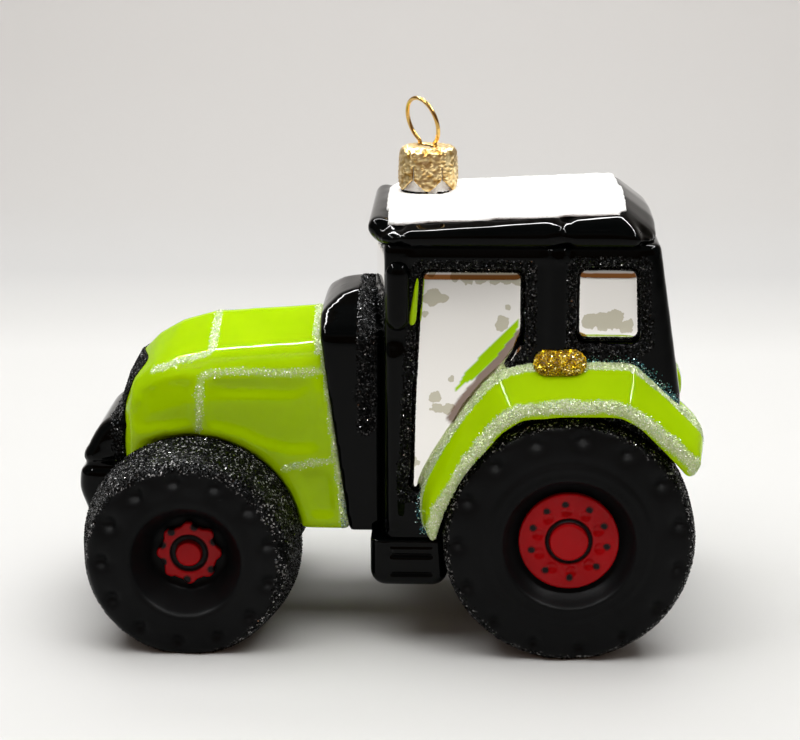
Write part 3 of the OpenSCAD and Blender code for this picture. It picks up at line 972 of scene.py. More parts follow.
@dataclass
class Hood:
    """The green hood, with its blown panels, its lines of pale glitter and the teal one at its rear foot."""

    softness: Softness = Softness(0.62, 9, 0.18)
    side_panel: GlitterLine = GlitterLine(
        Plane.SIDE, ((-10.9, 50.7), (-19.5, 50.3), (-26.3, 50.4), (-32, 50), (-33.1, 49.4), (-33.5, 47.3),
                     (-33.7, 44.5), (-33.9, 39.5)), 1.1, (12, 40), coat=0.42)
    rear_edge: GlitterLine = GlitterLine(
        Plane.SIDE, ((-11.8, 59), (-11.4, 55.8), (-10.2, 50), (-9.4, 44), (-8.7, 36), (-7.6, 29), (-6.9, 20)),
        1.1, (14, 40), coat=0.85)
    lower_edge: GlitterLine = GlitterLine(
        Plane.SIDE, ((-17.9, 32.4), (-13.5, 33.4), (-8.7, 34)), 1.1, (12, 40), coat=0.5)
    top_cross: GlitterLine = GlitterLine(Plane.TOP, ((-31.5, 0), (-31.5, 13)), 1.1, (45, 70), coat=0.7)
    crease: GlitterLine = GlitterLine(
        Plane.TOP, ((-31.5, 13), (-32, 14), (-36.7, 14), (-40.2, 13.8), (-42.6, 13.2)),
        0.88, (46, 70), coat=0.7)
    top_rear: GlitterLine = GlitterLine(
        Plane.TOP, ((-12.4, 0), (-12.3, 10), (-11.9, 15)), 1.1, (53, 70), coat=0.85)
    teal: GlitterLine = GlitterLine(Plane.SIDE, ((-7.3, 32), (-6.9, 27), (-6.6, 21)), 1.1, (14, 40))

    def build(self, shop: Workshop) -> None:
        """Builds the hood and its glitter.

        Args:
            shop: The bench.
        """
        hood = shop.soften("hood", self.softness)
        shop.paint(hood, [self.side_panel, self.rear_edge, self.lower_edge, self.top_cross, self.crease,
                          self.top_rear])
        shop.paint(hood, [self.teal], Mask.TEAL)
        shop.dress(hood, Finish.GREEN, "green_lacquer")
        shop.strew("hood_glitter", hood, PEARL_FLAKES, "pearl_glitter")
        shop.strew("hood_teal_glitter", hood, TEAL_FLAKES, "pearl_glitter", Mask.TEAL)


@dataclass
class Nose:
    """The black grille and the slatted weights at the front."""

    grille: Softness = Softness(0.3, 2, 0.1)
    weights: Softness = Softness(0.55, 4, 0.1)
    seam: GlitterLine = GlitterLine(
        Plane.SIDE, ((-50.5, 42.4), (-49.6, 37), (-49.3, 32)), 2.4, (0, 20), coat=0.5)

    def build(self, shop: Workshop) -> None:
        """Builds the grille, the weights and their black glitter.

        Args:
            shop: The bench.
        """
        grille = shop.soften("grille", self.grille)
        shop.paint_all(grille)
        shop.dress(grille, Finish.BLACK, "black_glitter")
        shop.strew("grille_glitter", grille, FRAME_FLAKES, "black_glitter")
        weights = shop.soften("nose_weights", self.weights)
        shop.paint(weights, [self.seam])
        shop.dress(weights, Finish.BLACK, "black_lacquer")
        shop.strew("nose_glitter", weights, FRAME_FLAKES, "black_glitter")


@dataclass
class Cab:
    """The black cab with its cowl, underbody, steps and mirrors.

    Attributes:
        shell: How the cab is softened.
        cowl: How the cowl is softened.
        chassis: How the underbody is softened.
        small: How steps and mirrors are softened.
        frames: Black glitter round the side windows.
        seams: Teal glitter along the fender.
        cowl_strip: Black glitter on the cowl.
        cowl_top: Profile of the cowl's top.
        ribs: Place along and half breadth of each rib between the side windows.
        rib_span: Heights between which the ribs stand.
        rail: Height and half breadth of the rail over the windows.
        rail_span: Places along between which the rail runs.
        relief_height: How far ribs and rail stand out.
        relief_wall: Distance from the middle plane past which the wall takes the relief.
        stripe: Middle of the green bead beside a mirror.
        stripe_size: Half of its breadth, thickness and height.
        stripe_lean: How far its upper end leans back.
        stripe_taper: How much slimmer that end is.
        stripe_blunt: How blunt its ends are, where one is round and less is blunter.
        stripe_grid: Number of its faces round and along.
    """

    shell: Softness = Softness(0.72, 3, 0.12)
    cowl: Softness = Softness(0.65, 6, 0.12)
    chassis: Softness = Softness(1.1, 4, 0.1)
    small: Softness = Softness(0.33, 3, 0.06)
    frames: tuple[GlitterLine, ...] = (GlitterLine(Plane.SIDE, DOOR, 1.8, (20, 30), True, True),
                                       GlitterLine(Plane.SIDE, QUARTER, 1.8, (20, 30), True, True))
    seams: tuple[GlitterLine, ...] = (
        GlitterLine(Plane.SIDE, ((37.5, 54.2), (44.6, 54), (48, 51.4), (51.4, 48.2), (54, 45.5)),
                    1.8, (22, 30)),
        GlitterLine(Plane.SIDE, ((8.2, 23), (7.4, 26), (7.4, 29)), 1.8, (22, 30)))
    cowl_strip: GlitterLine = GlitterLine(Plane.SIDE, ((-2.9, 40.5), (-2.9, 70)), 3.0, (0, 30))
    cowl_top: Outline = ((-12.3, 58.9), (-10.8, 61.1), (-8.2, 63.1), (-4.2, 64.2), (2.0, 65.6))
    ribs: tuple[tuple[float, float], ...] = ((29.8, 0.95), (32.5, 0.8))
    rib_span: tuple[float, float] = (54.0, 76.0)
    rail: tuple[float, float] = (73.3, 0.5)
    rail_span: tuple[float, float] = (5.0, 46.0)
    relief_height: float = 0.6
    relief_wall: float = 23.2
    stripe: tuple[float, float, float] = (5.9, 23.4, 65.2)
    stripe_size: tuple[float, float, float] = (0.52, 0.6, 4.3)
    stripe_lean: float = 0.5
    stripe_taper: float = 0.42
    stripe_blunt: float = 0.3
    stripe_grid: tuple[int, int] = (24, 32)

    def build(self, shop: Workshop) -> None:
        """Builds the cab's black pieces and the glitter round its windows.

        Args:
            shop: The bench.
        """
        cab = shop.soften("cab", self.shell)
        self.relief(cab.data)
        shop.paint(cab, [*self.frames, *self.seams])
        shop.paint(cab, self.frames, Mask.FRAME)
        shop.paint(cab, self.seams, Mask.SEAM)
        shop.dress(cab, Finish.BLACK, "black_lacquer")
        shop.strew("window_frame_glitter", cab, FRAME_FLAKES, "black_glitter", Mask.FRAME)
        shop.strew("fender_seam_glitter", cab, TEAL_FLAKES, "black_glitter", Mask.SEAM)
        cowl = shop.soften("cowl", self.cowl, self.slope)
        shop.paint(cowl, [self.cowl_strip])
        shop.dress(cowl, Finish.BLACK, "black_lacquer")
        shop.strew("cowl_glitter", cowl, FRAME_FLAKES, "black_glitter")
        shop.dress(shop.soften("chassis", self.chassis), Finish.BLACK, "black_lacquer")
        for side in Side:
            for name in ("step", "mirror"):
                shop.dress(shop.soften(side.of(name), self.small), Finish.BLACK, "black_lacquer")
        for side in Side:
            self.edge_stripe(shop, side)

    def slope(self, spots: np.ndarray) -> np.ndarray:
        """Slopes the cowl's top down to the hood.

        Args:
            spots: Points of the cowl, one a row.

        Returns:
            Their new places.
        """
        spots[:, 2] = np.minimum(spots[:, 2], np.interp(spots[:, 0], *zip(*self.cowl_top)))
        return spots

    def relief(self, mesh: bpy.types.Mesh) -> None:
        """Raises the double rib between the windows and the rail over them.

        Args:
            mesh: The cab.
        """
        spots = read_points(mesh)
        along, across, up = spots.T
        ribs = sum(hump(along - place, half) for place, half in self.ribs)
        ribs *= (up > self.rib_span[0]) & (up < self.rib_span[1])
        rail = hump(up - self.rail[0], self.rail[1])
        rail *= (along > self.rail_span[0]) & (along < self.rail_span[1])
        outside = np.abs(read_normals(mesh)[:, 1]) * (np.abs(across) > self.relief_wall)
        spots[:, 1] += np.sign(across) * outside * self.relief_height * np.maximum(ribs, rail)
        write_points(mesh, spots)

    def edge_stripe(self, shop: Workshop, side: Side) -> None:
        """Adds the slim green bead between a mirror and the door's window.

        Args:
            shop: The bench.
            side: The bead's side.
        """
        along, out, high = self.stripe
        breadth, thickness, height = self.stripe_size
        rounds, rows = self.stripe_grid
        work = bmesh.new()
        bmesh.ops.create_uvsphere(work, u_segments=rounds, v_segments=rows, radius=1.0)
        for point in work.verts:
            up = math.copysign(abs(point.co.z) ** self.stripe_blunt, point.co.z)
            slim = breadth * (1 - self.stripe_taper * up)
            point.co = Vector((along + self.stripe_lean * up + slim * point.co.x,
                               side.value * out + thickness * point.co.y, high + height * up)) * MM
        bead = new_piece(side.of("mirror_stripe"), work)
        bead.data.shade_smooth()
        shop.dress(bead, Finish.GREEN, "green_lacquer")


@dataclass
class Windows:
    """The bare, silvered windows, each blown out like a small pillow.

    Attributes:
        pane: How a side window is softened.
        plain: How the windscreen and the rear window are softened.
        door_crown: Place along and height of the door window's crown.
        quarter_crown: The same for the quarter window.
        sink: How far a pane's crown lies inside the wall.
        crown: Radius of a pane's bulge.
        sheet: Thickness of a pane.
        solid: Thickness of the solid that a pane is made from.
        rim: Slope of a straight edge's roll, in degrees, against the distance from the edge.
        dive: Slope where the door's window dives behind the fender.
        tuck: Slope of the quarter window's lower edge.
        roll_steps: In how many steps a roll's depth is summed up.
        fender_side: The door window's edge along the fender.
        foot_side: The edge below that.
        stain: Where the brown band along the fender lies, a painted reflection.
        leaf: Outline of the green patch, a painted reflection of the fender.
        leaf_waver: How fine and how strong the wander in that outline is.
    """

    pane: Softness = Softness(0.4, 2, 0.0)
    plain: Softness = Softness(0.5, 2, 0.0)
    door_crown: tuple[float, float] = (14.0, 54.0)
    quarter_crown: tuple[float, float] = (40.6, 65.3)
    sink: float = 0.2
    crown: float = 560.0
    sheet: float = 0.4
    solid: float = 2.8
    rim: Outline = ((0.0, 42.0), (0.7, 24.0), (1.3, 14.0), (1.7, 0.0))
    dive: Outline = ((0.0, 46.0), (0.8, 30.0), (1.6, 8.0), (2.6, 4.0), (4.0, 0.0))
    tuck: Outline = ((0.0, 48.0), (0.8, 36.0), (1.6, 24.0), (2.6, 0.0))
    roll_steps: int = 200
    fender_side: Outline = ((25.3, 58), (22, 52.6), (16.4, 45.8))
    foot_side: Outline = ((15.8, 45), (10.4, 36.6), (6.8, 29.7))
    stain: GlitterLine = GlitterLine(
        Plane.SIDE, ((24.4, 59.2), (20.7, 54.4), (14.4, 46.7), (12.6, 43.8)), 1.9, (10, 30), coat=0.85)
    leaf: Outline = ((24.8, 62.4), (18.4, 56.2), (15.1, 52.4), (13, 48.6), (14.4, 50), (16.4, 51),
                     (19.2, 53.6), (22.2, 57.4), (24.7, 60.8))
    leaf_waver: tuple[float, float] = (0.8, 0.5)

    def build(self, shop: Workshop) -> None:
        """Builds all six windows.

        Args:
            shop: The bench.
        """
        door_edges = [(DOOR[:2], self.rim), (DOOR[1:3], self.rim), ((*DOOR[7:], DOOR[0]), self.rim),
                      (self.fender_side, self.dive), (self.foot_side, self.rim)]
        quarter_edges = [((start, end), self.rim) for start, end in zip(QUARTER[:-1], QUARTER[1:])]
        quarter_edges.append(((QUARTER[-1], QUARTER[0]), self.tuck))
        for side in Side:
            door = shop.soften(side.of("door_window"), self.pane)
            self.shape(door.data, side, self.door_crown, door_edges)
            # Marks where the painted brown reflection and the painted green reflection of the fender lie.
            shop.paint(door, [self.stain], Mask.STAIN)
            spots = read_points(door.data)
            wander = ripples(spots, self.leaf_waver)
            inside = inside_outline(spots[:, (0, 2)] + wander[:, None], self.leaf)
            write_mask(door.data, Mask.LEAF, inside.astype(float))
            quarter = shop.soften(side.of("quarter_window"), self.pane)
            self.shape(quarter.data, side, self.quarter_crown, quarter_edges)
            for pane in (door, quarter):
                shop.dress(pane, Finish.SILVER, "silvered_glass")
        for name in ("windscreen", "rear_window"):
            shop.dress(shop.soften(name, self.plain), Finish.SILVER, "silvered_glass")

    def shape(self, mesh: bpy.types.Mesh, side: Side, middle: tuple[float, float],
              edges: Sequence[tuple[Outline, Outline]]) -> None:
        """Bulges a side window into a thin sheet, and rolls its rim inwards.

        Args:
            mesh: The pane.
            side: Its side.
            middle: Its crown.
            edges: Each edge, with the slope of its roll.
        """
        spots = read_points(mesh)
        flat = spots[:, (0, 2)]
        depth = self.sink + np.sum((flat - middle) ** 2, axis=1) / (2 * self.crown)
        for line, slope in edges:
            away = np.linspace(0, slope[-1][0], self.roll_steps)
            lean = np.tan(np.radians(np.interp(away, *zip(*slope))))
            sunk = (lean.sum() - np.cumsum(lean)) * (away[1] - away[0])
            depth += np.interp(outline_distance(flat, line, False), away, sunk, right=0.0)
        through = rise(CAB_WALL - side.value * spots[:, 1], 0, self.solid)
        spots[:, 1] = side.value * (CAB_WALL - depth - through * self.sheet)
        write_points(mesh, spots)


@dataclass
class Roof:
    """The black roof with its neck, and the snow painted on it.

    Attributes:
        shell: How the roof is softened.
        seat: Height of its flat underside.
        edge: How thick a layer over the underside sinks with it.
        depth: How far it sinks into the cab.
        inset: Share by which it narrows there.
        middle: The point towards which it narrows.
        grooves: Place along of each upright groove.
        groove_half: Half breadth of a groove.
        groove_depth: Its depth.
        groove_side: Distances from the middle plane between which a groove fades in.
        snow: How the snow is softened.
        lumps: How fine and how high its lumps are.
        neck: Place of the neck.
        neck_reach: Radius within which the skin is the neck's.
        neck_foot: Height of its foot.
    """

    shell: Softness = Softness(0.58, 14, 0.25)
    seat: float = 75.5
    edge: float = 0.3
    depth: float = 2.2
    inset: float = 0.08
    middle: tuple[float, float] = (24.0, 0.0)
    grooves: tuple[float, ...] = (3.0, 32.6, 46.4)
    groove_half: float = 1.1
    groove_depth: float = 0.55
    groove_side: tuple[float, float] = (19.0, 21.0)
    snow: Softness = Softness(0.6, 2, 0.12)
    lumps: tuple[tuple[float, float], ...] = ((0.55, 0.16), (1.7, 0.128))
    neck: tuple[float, float] = (7.8, 0.0)
    neck_reach: float = 5.2
    neck_foot: float = 81.6

    def build(self, shop: Workshop) -> None:
        """Builds the roof and its coat of snow, which runs up the neck.

        Args:
            shop: The bench.
        """
        roof = shop.soften("roof", self.shell, self.sit)
        self.groove(roof.data)
        shop.dress(roof, Finish.BLACK, "black_lacquer")
        shop.dress(self.take_neck(roof), Finish.SNOW, "white_snow")
        snow = shop.soften("roof_snow", self.snow)
        spots = read_points(snow.data)
        spots += read_normals(snow.data) * ripples(spots, *self.lumps)[:, None]
        write_points(snow.data, spots)
        shop.dress(snow, Finish.SNOW, "white_snow")

    def sit(self, spots: np.ndarray) -> np.ndarray:
        """Sinks the roof's flat underside into the cab.

        Args:
            spots: Points of the roof, one a row.

        Returns:
            Their new places.
        """
        low = 1 - rise(spots[:, 2], self.seat, self.seat + self.edge)
        spots[:, :2] -= (spots[:, :2] - self.middle) * (self.inset * low)[:, None]
        spots[:, 2] -= self.depth * low
        return spots

    def groove(self, mesh: bpy.types.Mesh) -> None:
        """Parts the roof's sides into long pillows with soft upright grooves.

        Args:
            mesh: The roof.
        """
        spots = read_points(mesh)
        dent = sum(hump(spots[:, 0] - place, self.groove_half) for place in self.grooves)
        dent *= self.groove_depth * rise(np.abs(spots[:, 1]), *self.groove_side)
        write_points(mesh, spots - read_normals(mesh) * dent[:, None])

    def take_neck(self, roof: bpy.types.Object) -> bpy.types.Object:
        """Cuts the neck off the roof's skin as a piece of its own.

        Args:
            roof: The roof, which loses its neck.

        Returns:
            The neck.
        """
        work = bmesh.new()
        work.from_mesh(roof.data)
        neck = work.copy()
        for mesh, keep_neck in ((work, False), (neck, True)):
            drop = [face for face in mesh.faces if self.on_neck(face.calc_center_median()) != keep_neck]
            bmesh.ops.delete(mesh, geom=drop, context="FACES")
        work.to_mesh(roof.data)
        work.free()
        return new_piece("roof_neck", neck)

    def on_neck(self, spot: Vector) -> bool:
        """Tells whether a spot, in metres, lies on the neck."""
        away = math.hypot(spot.x / MM - self.neck[0], spot.y / MM - self.neck[1])
        return away < self.neck_reach and spot.z / MM > self.neck_foot


@dataclass
class Fenders:
    """The green fenders with their glittered rims, the arches under them and the gold lamps on top.

    Attributes:
        skin: How a fender is softened.
        arch: How an arch is softened.
        lamp: How a lamp is softened.
        rim: The glitter along a fender's outer rim.
        upper: The glitter along its upper edge.
        edge: How thick a layer at the cut edge sinks into the cab's wall.
        depth: How far it sinks.
        lip: Height of the heap along the upper edge.
        lip_breadth: Distance from the wall over which the heap falls off.
        lip_end: Places along between which it runs out.
        hub: Place along and height from which the heap points away.
    """

    skin: Softness = Softness(0.5, 36, 0.34)
    arch: Softness = Softness(0.6, 3, 0.0)
    lamp: Softness = Softness(0.3, 2, 0.1)
    rim: GlitterLine = GlitterLine(
        Plane.SIDE, ((9.3, 24), (10.3, 29), (15.7, 38.2), (20.4, 44.3), (22.6, 46.2), (25, 47.4), (32, 48.1),
                     (41, 48.1), (43.8, 47.3), (47.5, 44.9), (51.8, 41.3), (55.2, 38.2), (56, 36.6)),
        2.1, (28.4, 34))
    upper: GlitterLine = GlitterLine(
        Plane.SIDE, ((8.8, 22), (7.6, 26), (7.8, 30.5), (9.2, 34.5), (12, 39.8), (15.2, 45.2), (18.6, 49.8),
                     (21.6, 52.2), (26, 53.5), (36, 54), (44.6, 53.8), (48, 51.2), (51.4, 48), (57.4, 42)),
        3.0, (20, 25.6))
    edge: float = 0.3
    depth: float = 2.0
    lip: float = 0.8
    lip_breadth: float = 2.5
    lip_end: tuple[float, float] = (44.0, 48.0)
    hub: tuple[float, float] = (33.8, 22.5)

    def build(self, shop: Workshop) -> None:
        """Builds both sides.

        Args:
            shop: The bench.
        """
        for side in Side:
            fender = shop.soften(side.of("fender"), self.skin, self.seat)
            shop.paint(fender, [self.rim, self.upper])
            shop.dress(fender, Finish.GREEN, "green_lacquer")
            shop.strew(side.of("fender_glitter"), fender, PEARL_FLAKES, "pearl_glitter")
            for name, softness, flakes, base, slot in (
                    ("wheel_arch", self.arch, JET_FLAKES, Finish.BLACK, "black_glitter"),
                    ("lamp", self.lamp, GOLD_FLAKES, Finish.AMBER, "gold_glitter")):
                piece = shop.soften(side.of(name), softness)
                shop.paint_all(piece)
                shop.dress(piece, base, slot)
                shop.strew(side.of(name + "_glitter"), piece, flakes, slot)

    def seat(self, spots: np.ndarray) -> np.ndarray:
        """Sinks a fender's cut edge into the cab's wall and heaps its upper edge over the seam.

        Args:
            spots: Points of the fender, one a row.

        Returns:
            Their new places.
        """
        away = np.abs(spots[:, 1])
        ray = spots[:, (0, 2)] - self.hub
        ray /= np.linalg.norm(ray, axis=1)[:, None]
        heap = self.lip * (1 - rise(away, CAB_WALL, CAB_WALL + self.lip_breadth))
        heap *= 1 - rise(spots[:, 0], *self.lip_end)
        spots[:, (0, 2)] += ray * heap[:, None]
        sunk = self.depth * (1 - rise(away, CAB_WALL, CAB_WALL + self.edge))
        spots[:, 1] -= np.sign(spots[:, 1]) * sunk
        return spots


@dataclass
class Wheel:
    """One kind of wheel: a satin tyre with a glittered tread, and a red hub with dark paint in its hollows.

    Attributes:
        name: "front" or "rear".
        x: Place of the axle along the ornament.
        z: Height of the axle.
        out: Distance of the tyre's outer face from the middle plane.
        face: Place along, height and radius of the satin face, outside which the tyre is glittered.
        ring: Inner and outer radius of the dark ring round the button.
        dots: Angles of the painted dots, in degrees.
        dot_ring: Radius at which they stand.
        dot: Radius of a dot.
        lugs: Number of blown dents round the tyre's shoulder.
        lug_ring: Radius at which they lie.
        ridges: Radius and half breadth of each ridge round the tyre's face.
        tyre: How the tyre is softened.
        hub: How the hub is softened.
        lug_size: Radius of a dent.
        lug_depth: How much deeper it is than in the solid.
        ridge_height: How far a ridge stands out.
        mould_span: How far inside the outer face dents and ridges fade in, from and to.
        ragged: How fine and how strong the wander in the satin face's edge is.
        edge: Breadth over which the glitter fades there.
        paint_fade: Half the breadth over which the dark paint fades.
    """

    name: str
    x: float
    z: float
    out: float
    face: tuple[float, float, float]
    ring: tuple[float, float]
    dots: tuple[float, ...]
    dot_ring: float
    dot: float
    lugs: int
    lug_ring: float
    ridges: tuple[tuple[float, float], ...] = ()
    tyre: Softness = Softness(0.6, 2, 0.1)
    hub: Softness = Softness(0.27, 1, 0.03)
    lug_size: float = 2.0
    lug_depth: float = 0.75
    ridge_height: float = 0.6
    mould_span: tuple[float, float] = (5.0, 3.0)
    ragged: tuple[float, float] = (0.5, 0.4)
    edge: float = 0.5
    paint_fade: float = 0.1

    def build(self, shop: Workshop) -> None:
        """Builds the wheel on both sides.

        Args:
            shop: The bench.
        """
        for side in Side:
            tyre = shop.soften(side.of(self.name + "_tyre"), self.tyre)
            self.mould(tyre.data)
            spots = read_points(tyre.data)
            radius = np.hypot(spots[:, 0] - self.face[0], spots[:, 2] - self.face[1])
            radius += ripples(spots, self.ragged)
            write_mask(tyre.data, Mask.GLITTER, rise(radius, self.face[2], self.face[2] + self.edge))
            shop.dress(tyre, Finish.SATIN, "satin_black")
            shop.strew(side.of(self.name + "_tread_glitter"), tyre, JET_FLAKES, "black_glitter")
            hub = shop.soften(side.of(self.name + "_rim"), self.hub)
            write_mask(hub.data, Mask.GLITTER, self.dark_paint(read_points(hub.data)))
            shop.dress(hub, Finish.RED, "red_lacquer")

    def mould(self, mesh: bpy.types.Mesh) -> None:
        """Deepens the dents round a tyre's shoulder and raises the ridges on its face.

        Args:
            mesh: The tyre.
        """
        spots = read_points(mesh)
        along, up = spots[:, 0] - self.x, spots[:, 2] - self.z
        pressed = np.zeros(len(spots))
        for turn in (math.tau * (number + 0.5) / self.lugs for number in range(self.lugs)):
            away = np.hypot(along - self.lug_ring * math.cos(turn), up - self.lug_ring * math.sin(turn))
            pressed += self.lug_depth * hump(away, self.lug_size)
        for place, half in self.ridges:
            pressed -= self.ridge_height * hump(np.hypot(along, up) - place, half)
        pressed *= rise(np.abs(spots[:, 1]), self.out - self.mould_span[0], self.out - self.mould_span[1])
        spots[:, 1] -= np.sign(spots[:, 1]) * pressed
        write_points(mesh, spots)

    def dark_paint(self, spots: np.ndarray) -> np.ndarray:
        """Works out where the hub is painted dark.

        Args:
            spots: Points of the hub, one a row.

        Returns:
            From zero, red, to one, dark.
        """
        across, up = spots[:, 0] - self.x, spots[:, 2] - self.z
        middle, half = sum(self.ring) / 2, (self.ring[1] - self.ring[0]) / 2
        margin = half - np.abs(np.hypot(across, up) - middle)
        for angle in map(math.radians, self.dots):
            away = np.hypot(across - self.dot_ring * math.cos(angle), up - self.dot_ring * math.sin(angle))
            margin = np.maximum(margin, self.dot - away)
        return rise(margin, -self.paint_fade, self.paint_fade)


@dataclass
class Hanging:
    """The stamped gold cap and the wire loop in it.

    Attributes:
        cap: How the cap is softened.
        middle: Place of the cap along the ornament.
        girth: Radius of its skirt.
        leaves: Number of leaves round it.
        tip: Height of the leaves' tips.
        tip_span: Heights against the tip between which a leaf widens.
        shoulder: Height at which the skirt begins.
        shoulder_edge: Height over which it fades in.
        inset: Distance of the beaded border from a leaf's edge.
        bead: Half breadth of that border.
        bead_pitch: Height from bead to bead.
        star: Height of the star stamped into each leaf.
        star_reach: Length of its spokes.
        spoke: Half breadth of a spoke.
        spokes: How many it has.
        pebbles: How fine the pebbles are.
        top_pebbles: Their height on the cap's top, against the relief.
        skirt_pebbles: Their height on its skirt.
        emboss: Height of the stamping.
    """

    cap: Softness = Softness(0.14, 3, 0.0)
    middle: float = 7.8
    girth: float = 5.5
    leaves: int = 6
    tip: float = 81.9
    tip_span: tuple[float, float] = (-0.7, 1.9)
    shoulder: float = 88.2
    shoulder_edge: float = 0.5
    inset: float = 0.55
    bead: float = 0.2
    bead_pitch: float = 0.62
    star: float = 86.0
    star_reach: float = 1.3
    spoke: float = 0.14
    spokes: int = 8
    pebbles: float = 1.7
    top_pebbles: float = 1.1
    skirt_pebbles: float = 0.4
    emboss: float = 0.13

    def build(self, shop: Workshop) -> None:
        """Builds the cap, and dresses the wire loop.

        Args:
            shop: The bench.
        """
        cap = shop.soften("cap", self.cap)
        spots = read_points(cap.data)
        spots += read_normals(cap.data) * (self.stamping(spots) * self.emboss)[:, None]
        write_points(cap.data, spots)
        shop.dress(cap, Finish.TIN, "gold_tinplate", "cap")
        loop = shop.frame["nodes"]["hanger"]
        loop.data.materials.clear()
        loop.data.materials.append(Finish.WIRE.material())

    def stamping(self, spots: np.ndarray) -> np.ndarray:
        """Works out the cap's stamped relief: a beaded border and a star on each leaf, pebbles on top.

        Args:
            spots: Points of the cap, one a row.

        Returns:
            Height of the relief at each spot, about one at its crests.
        """
        along, out, high = spots[:, 0] - self.middle, spots[:, 1], spots[:, 2]
        leaf = math.tau / self.leaves
        turn = (np.arctan2(out, along) + math.pi / 2 + leaf / 2) % leaf - leaf / 2
        across = np.abs(turn) * np.hypot(along, out)
        half = self.girth * leaf / 2 * rise(high - self.tip, *self.tip_span)
        beads = hump(half - across - self.inset, self.bead)
        beads *= 0.5 + 0.5 * np.cos(math.tau * high / self.bead_pitch)
        up = high - self.star
        wedge = math.tau / self.spokes
        spoke = (np.arctan2(up, across) + wedge / 2) % wedge - wedge / 2
        reach = np.hypot(across, up)
        star = hump(reach * np.sin(spoke), self.spoke) * (reach < self.star_reach)
        skirt = 1 - rise(high, self.shoulder - self.shoulder_edge, self.shoulder)
        coarse = self.top_pebbles + (self.skirt_pebbles - self.top_pebbles) * skirt
        return (beads + star) * skirt + ripples(spots, (self.pebbles, 1.0)) * coarse


@dataclass(frozen=True)
class SoftLight:
    """A rectangle of light hung level over the ornament.

    Attributes:
        name: What it is.
        place: Its middle.
        size: Its length along the ornament and its breadth across it.
        level: Its brightness, where one is white.
        glint: Whether it only shows in reflections; another light gives light but doesn't show in them.
        power: Power of a square metre of light of level one.
    """

    name: str
    place: tuple[float, float, float]
    size: tuple[float, float]
    level: float
    glint: bool = False
    power: float = 4.0

    def hang(self) -> None:
        """Adds the light to the scene."""
        lamp = bpy.data.lights.new(self.name, "AREA")
        lamp.shape = "RECTANGLE"
        lamp.size = self.size[0] * MM
        lamp.size_y = self.size[1] * MM
        lamp.energy = self.level * self.power * lamp.size * lamp.size_y
        holder = bpy.data.objects.new(self.name, lamp)
        holder.location = Vector(self.place) * MM
        holder.visible_diffuse = not self.glint
        holder.visible_glossy = self.glint
        bpy.context.collection.objects.link(holder)


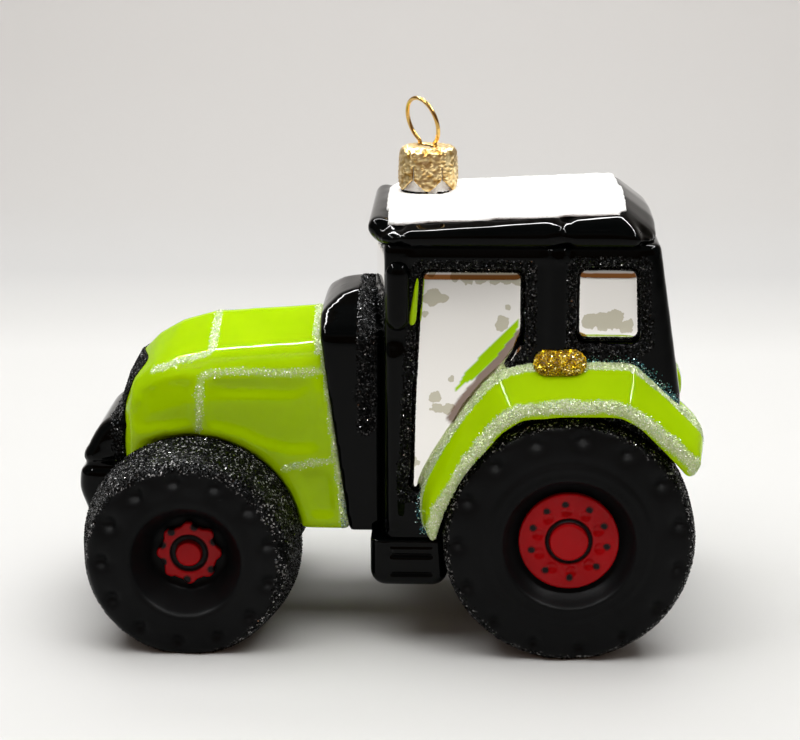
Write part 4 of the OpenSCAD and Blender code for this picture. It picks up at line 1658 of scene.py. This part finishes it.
@dataclass
class Studio:
    """Pale swept paper, soft boxes overhead with bright tubes round them, and the camera.

    Attributes:
        eye: Place of the camera.
        aim: What it looks at.
        lens: Its focal length.
        sensor: Breadth of its frame.
        lights: The soft boxes and the tubes.
        air: Colour of the room.
        ambience: Brightness of the room, where one is white.
        front_glow: Colour of the room behind the camera, near the horizon.
        glow_front: How far to the front a direction points where that colour begins, and where it is full.
        glow_top: How far up it points where that colour begins, and where it is full.
        floor_front: Front edge of the paper.
        floor_back: Where the paper begins to sweep up.
        bend: Radius of that sweep.
        bend_steps: Number of rows of faces in it.
        floor_half: Half of the paper's breadth.
        wall_top: Height of its upper edge.
    """

    eye: tuple[float, float, float] = (15.035, -395.455, 148.943)
    aim: tuple[float, float, float] = (3.2, -20.0, 51.796)
    lens: float = 96.75
    sensor: float = 36.0
    lights: tuple[SoftLight, ...] = (
        SoftLight("soft_box", (0.0, -50.0, 540.0), (760.0, 560.0), 2.5),
        SoftLight("back_box", (0.0, 460.0, 540.0), (760.0, 220.0), 2.6),
        SoftLight("front_tube", (0.0, -250.0, 540.0), (760.0, 40.0), 50.0, True),
        SoftLight("back_tube", (0.0, 330.0, 540.0), (760.0, 40.0), 50.0, True),
        SoftLight("left_tube", (-390.0, 40.0, 540.0), (40.0, 560.0), 50.0, True),
        SoftLight("right_tube", (390.0, 40.0, 540.0), (40.0, 560.0), 50.0, True),
    )
    air: str = "#fbfaf7"
    ambience: float = 0.16
    front_glow: str = "#6b4423"
    glow_front: tuple[float, float] = (-0.25, -0.6)
    glow_top: tuple[float, float] = (0.75, 0.45)
    floor_front: float = -1400.0
    floor_back: float = 420.0
    bend: float = 260.0
    bend_steps: int = 24
    floor_half: float = 1500.0
    wall_top: float = 1300.0

    def build(self) -> None:
        """Sets up paper, lights, room and camera."""
        self.paper()
        for light in self.lights:
            light.hang()
        self.room()
        self.camera()

    def paper(self) -> bpy.types.Object:
        """Makes the paper, flat under the ornament and swept up behind it.

        Returns:
            The paper.
        """
        bends = [(self.floor_back + self.bend * math.sin(a), self.bend * (1 - math.cos(a)))
                 for a in np.linspace(0, math.pi / 2, self.bend_steps + 1)]
        profile = [(self.floor_front, 0.0), *bends, (self.floor_back + self.bend, self.wall_top)]
        work = bmesh.new()
        rows = [[work.verts.new((x * MM, y * MM, z * MM)) for x in (-self.floor_half, self.floor_half)]
                for y, z in profile]
        for near, far in zip(rows[:-1], rows[1:]):
            work.faces.new((near[0], near[1], far[1], far[0])).smooth = True
        paper = new_piece("paper", work)
        paper.data.materials.append(StudioPaper().material())
        return paper

    def room(self) -> None:
        """Fills the room with a little even light, and with a warm glow low behind the camera."""
        world = bpy.data.worlds.new("room")
        world.use_nodes = True
        tree = world.node_tree
        tree.nodes.clear()
        away = add(tree, "ShaderNodeTexCoord").outputs["Generated"]
        split = add(tree, "ShaderNodeSeparateXYZ", {"Vector": away})
        front, low = (
            add(tree, "ShaderNodeMapRange",
                {"Value": split.outputs[axis], "From Min": start, "From Max": full})
            for axis, (start, full) in (("Y", self.glow_front), ("Z", self.glow_top)))
        warm = add(tree, "ShaderNodeMath", {0: front.outputs[0], 1: low.outputs[0]}, operation="MULTIPLY")
        colour = add(tree, "ShaderNodeMix", {0: warm.outputs[0], 6: srgb(self.air), 7: srgb(self.front_glow)},
                     data_type="RGBA")
        level = add(tree, "ShaderNodeMapRange",
                    {"Value": warm.outputs[0], "To Min": self.ambience, "To Max": 1.0})
        glow = add(tree, "ShaderNodeBackground", {"Color": colour.outputs[2], "Strength": level.outputs[0]})
        add(tree, "ShaderNodeOutputWorld", {"Surface": glow.outputs["Background"]})
        bpy.context.scene.world = world

    def camera(self) -> None:
        """Places the camera at the photograph's viewing angle."""
        data = bpy.data.cameras.new("camera")
        data.lens = self.lens
        data.sensor_width = self.sensor
        data.sensor_fit = "HORIZONTAL"
        data.clip_start = 0.01
        camera = bpy.data.objects.new("camera", data)
        camera.location = Vector(self.eye) * MM
        camera.rotation_euler = (Vector(self.aim) - Vector(self.eye)).to_track_quat("-Z", "Y").to_euler()
        bpy.context.collection.objects.link(camera)
        bpy.context.scene.camera = camera
        bpy.context.scene.view_settings.view_transform = "Standard"


def main() -> None:
    """Builds the ornament piece by piece, then the studio round it."""
    logging.basicConfig(level=logging.INFO, format="%(message)s", stream=sys.stdout)
    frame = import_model()
    shop = Workshop(frame)
    front = Wheel("front", x=-35.3, z=18.0, out=30.0, face=(-36.1, 17.4, 17.2), ring=(2.4, 3.6),
                  dots=(26, 78, 128, 163, 200, 265, 322), dot_ring=5.1, dot=0.75, lugs=13, lug_ring=15.4)
    rear = Wheel("rear", x=33.8, z=22.5, out=31.0, face=(33.8, 22.5, 21.4), ring=(3.5, 4.3),
                 dots=(25, 59, 96, 126, 159, 194, 233, 272, 317, 352), dot_ring=6.9, dot=0.66, lugs=15,
                 lug_ring=20.0, ridges=((12.0, 0.7), (14.4, 0.8)))
    for part in (Hood(), Nose(), Cab(), Windows(), Roof(), Fenders(), front, rear, Hanging()):
        part.build(shop)
    Studio().build()


if __name__ == "__main__":
    main()
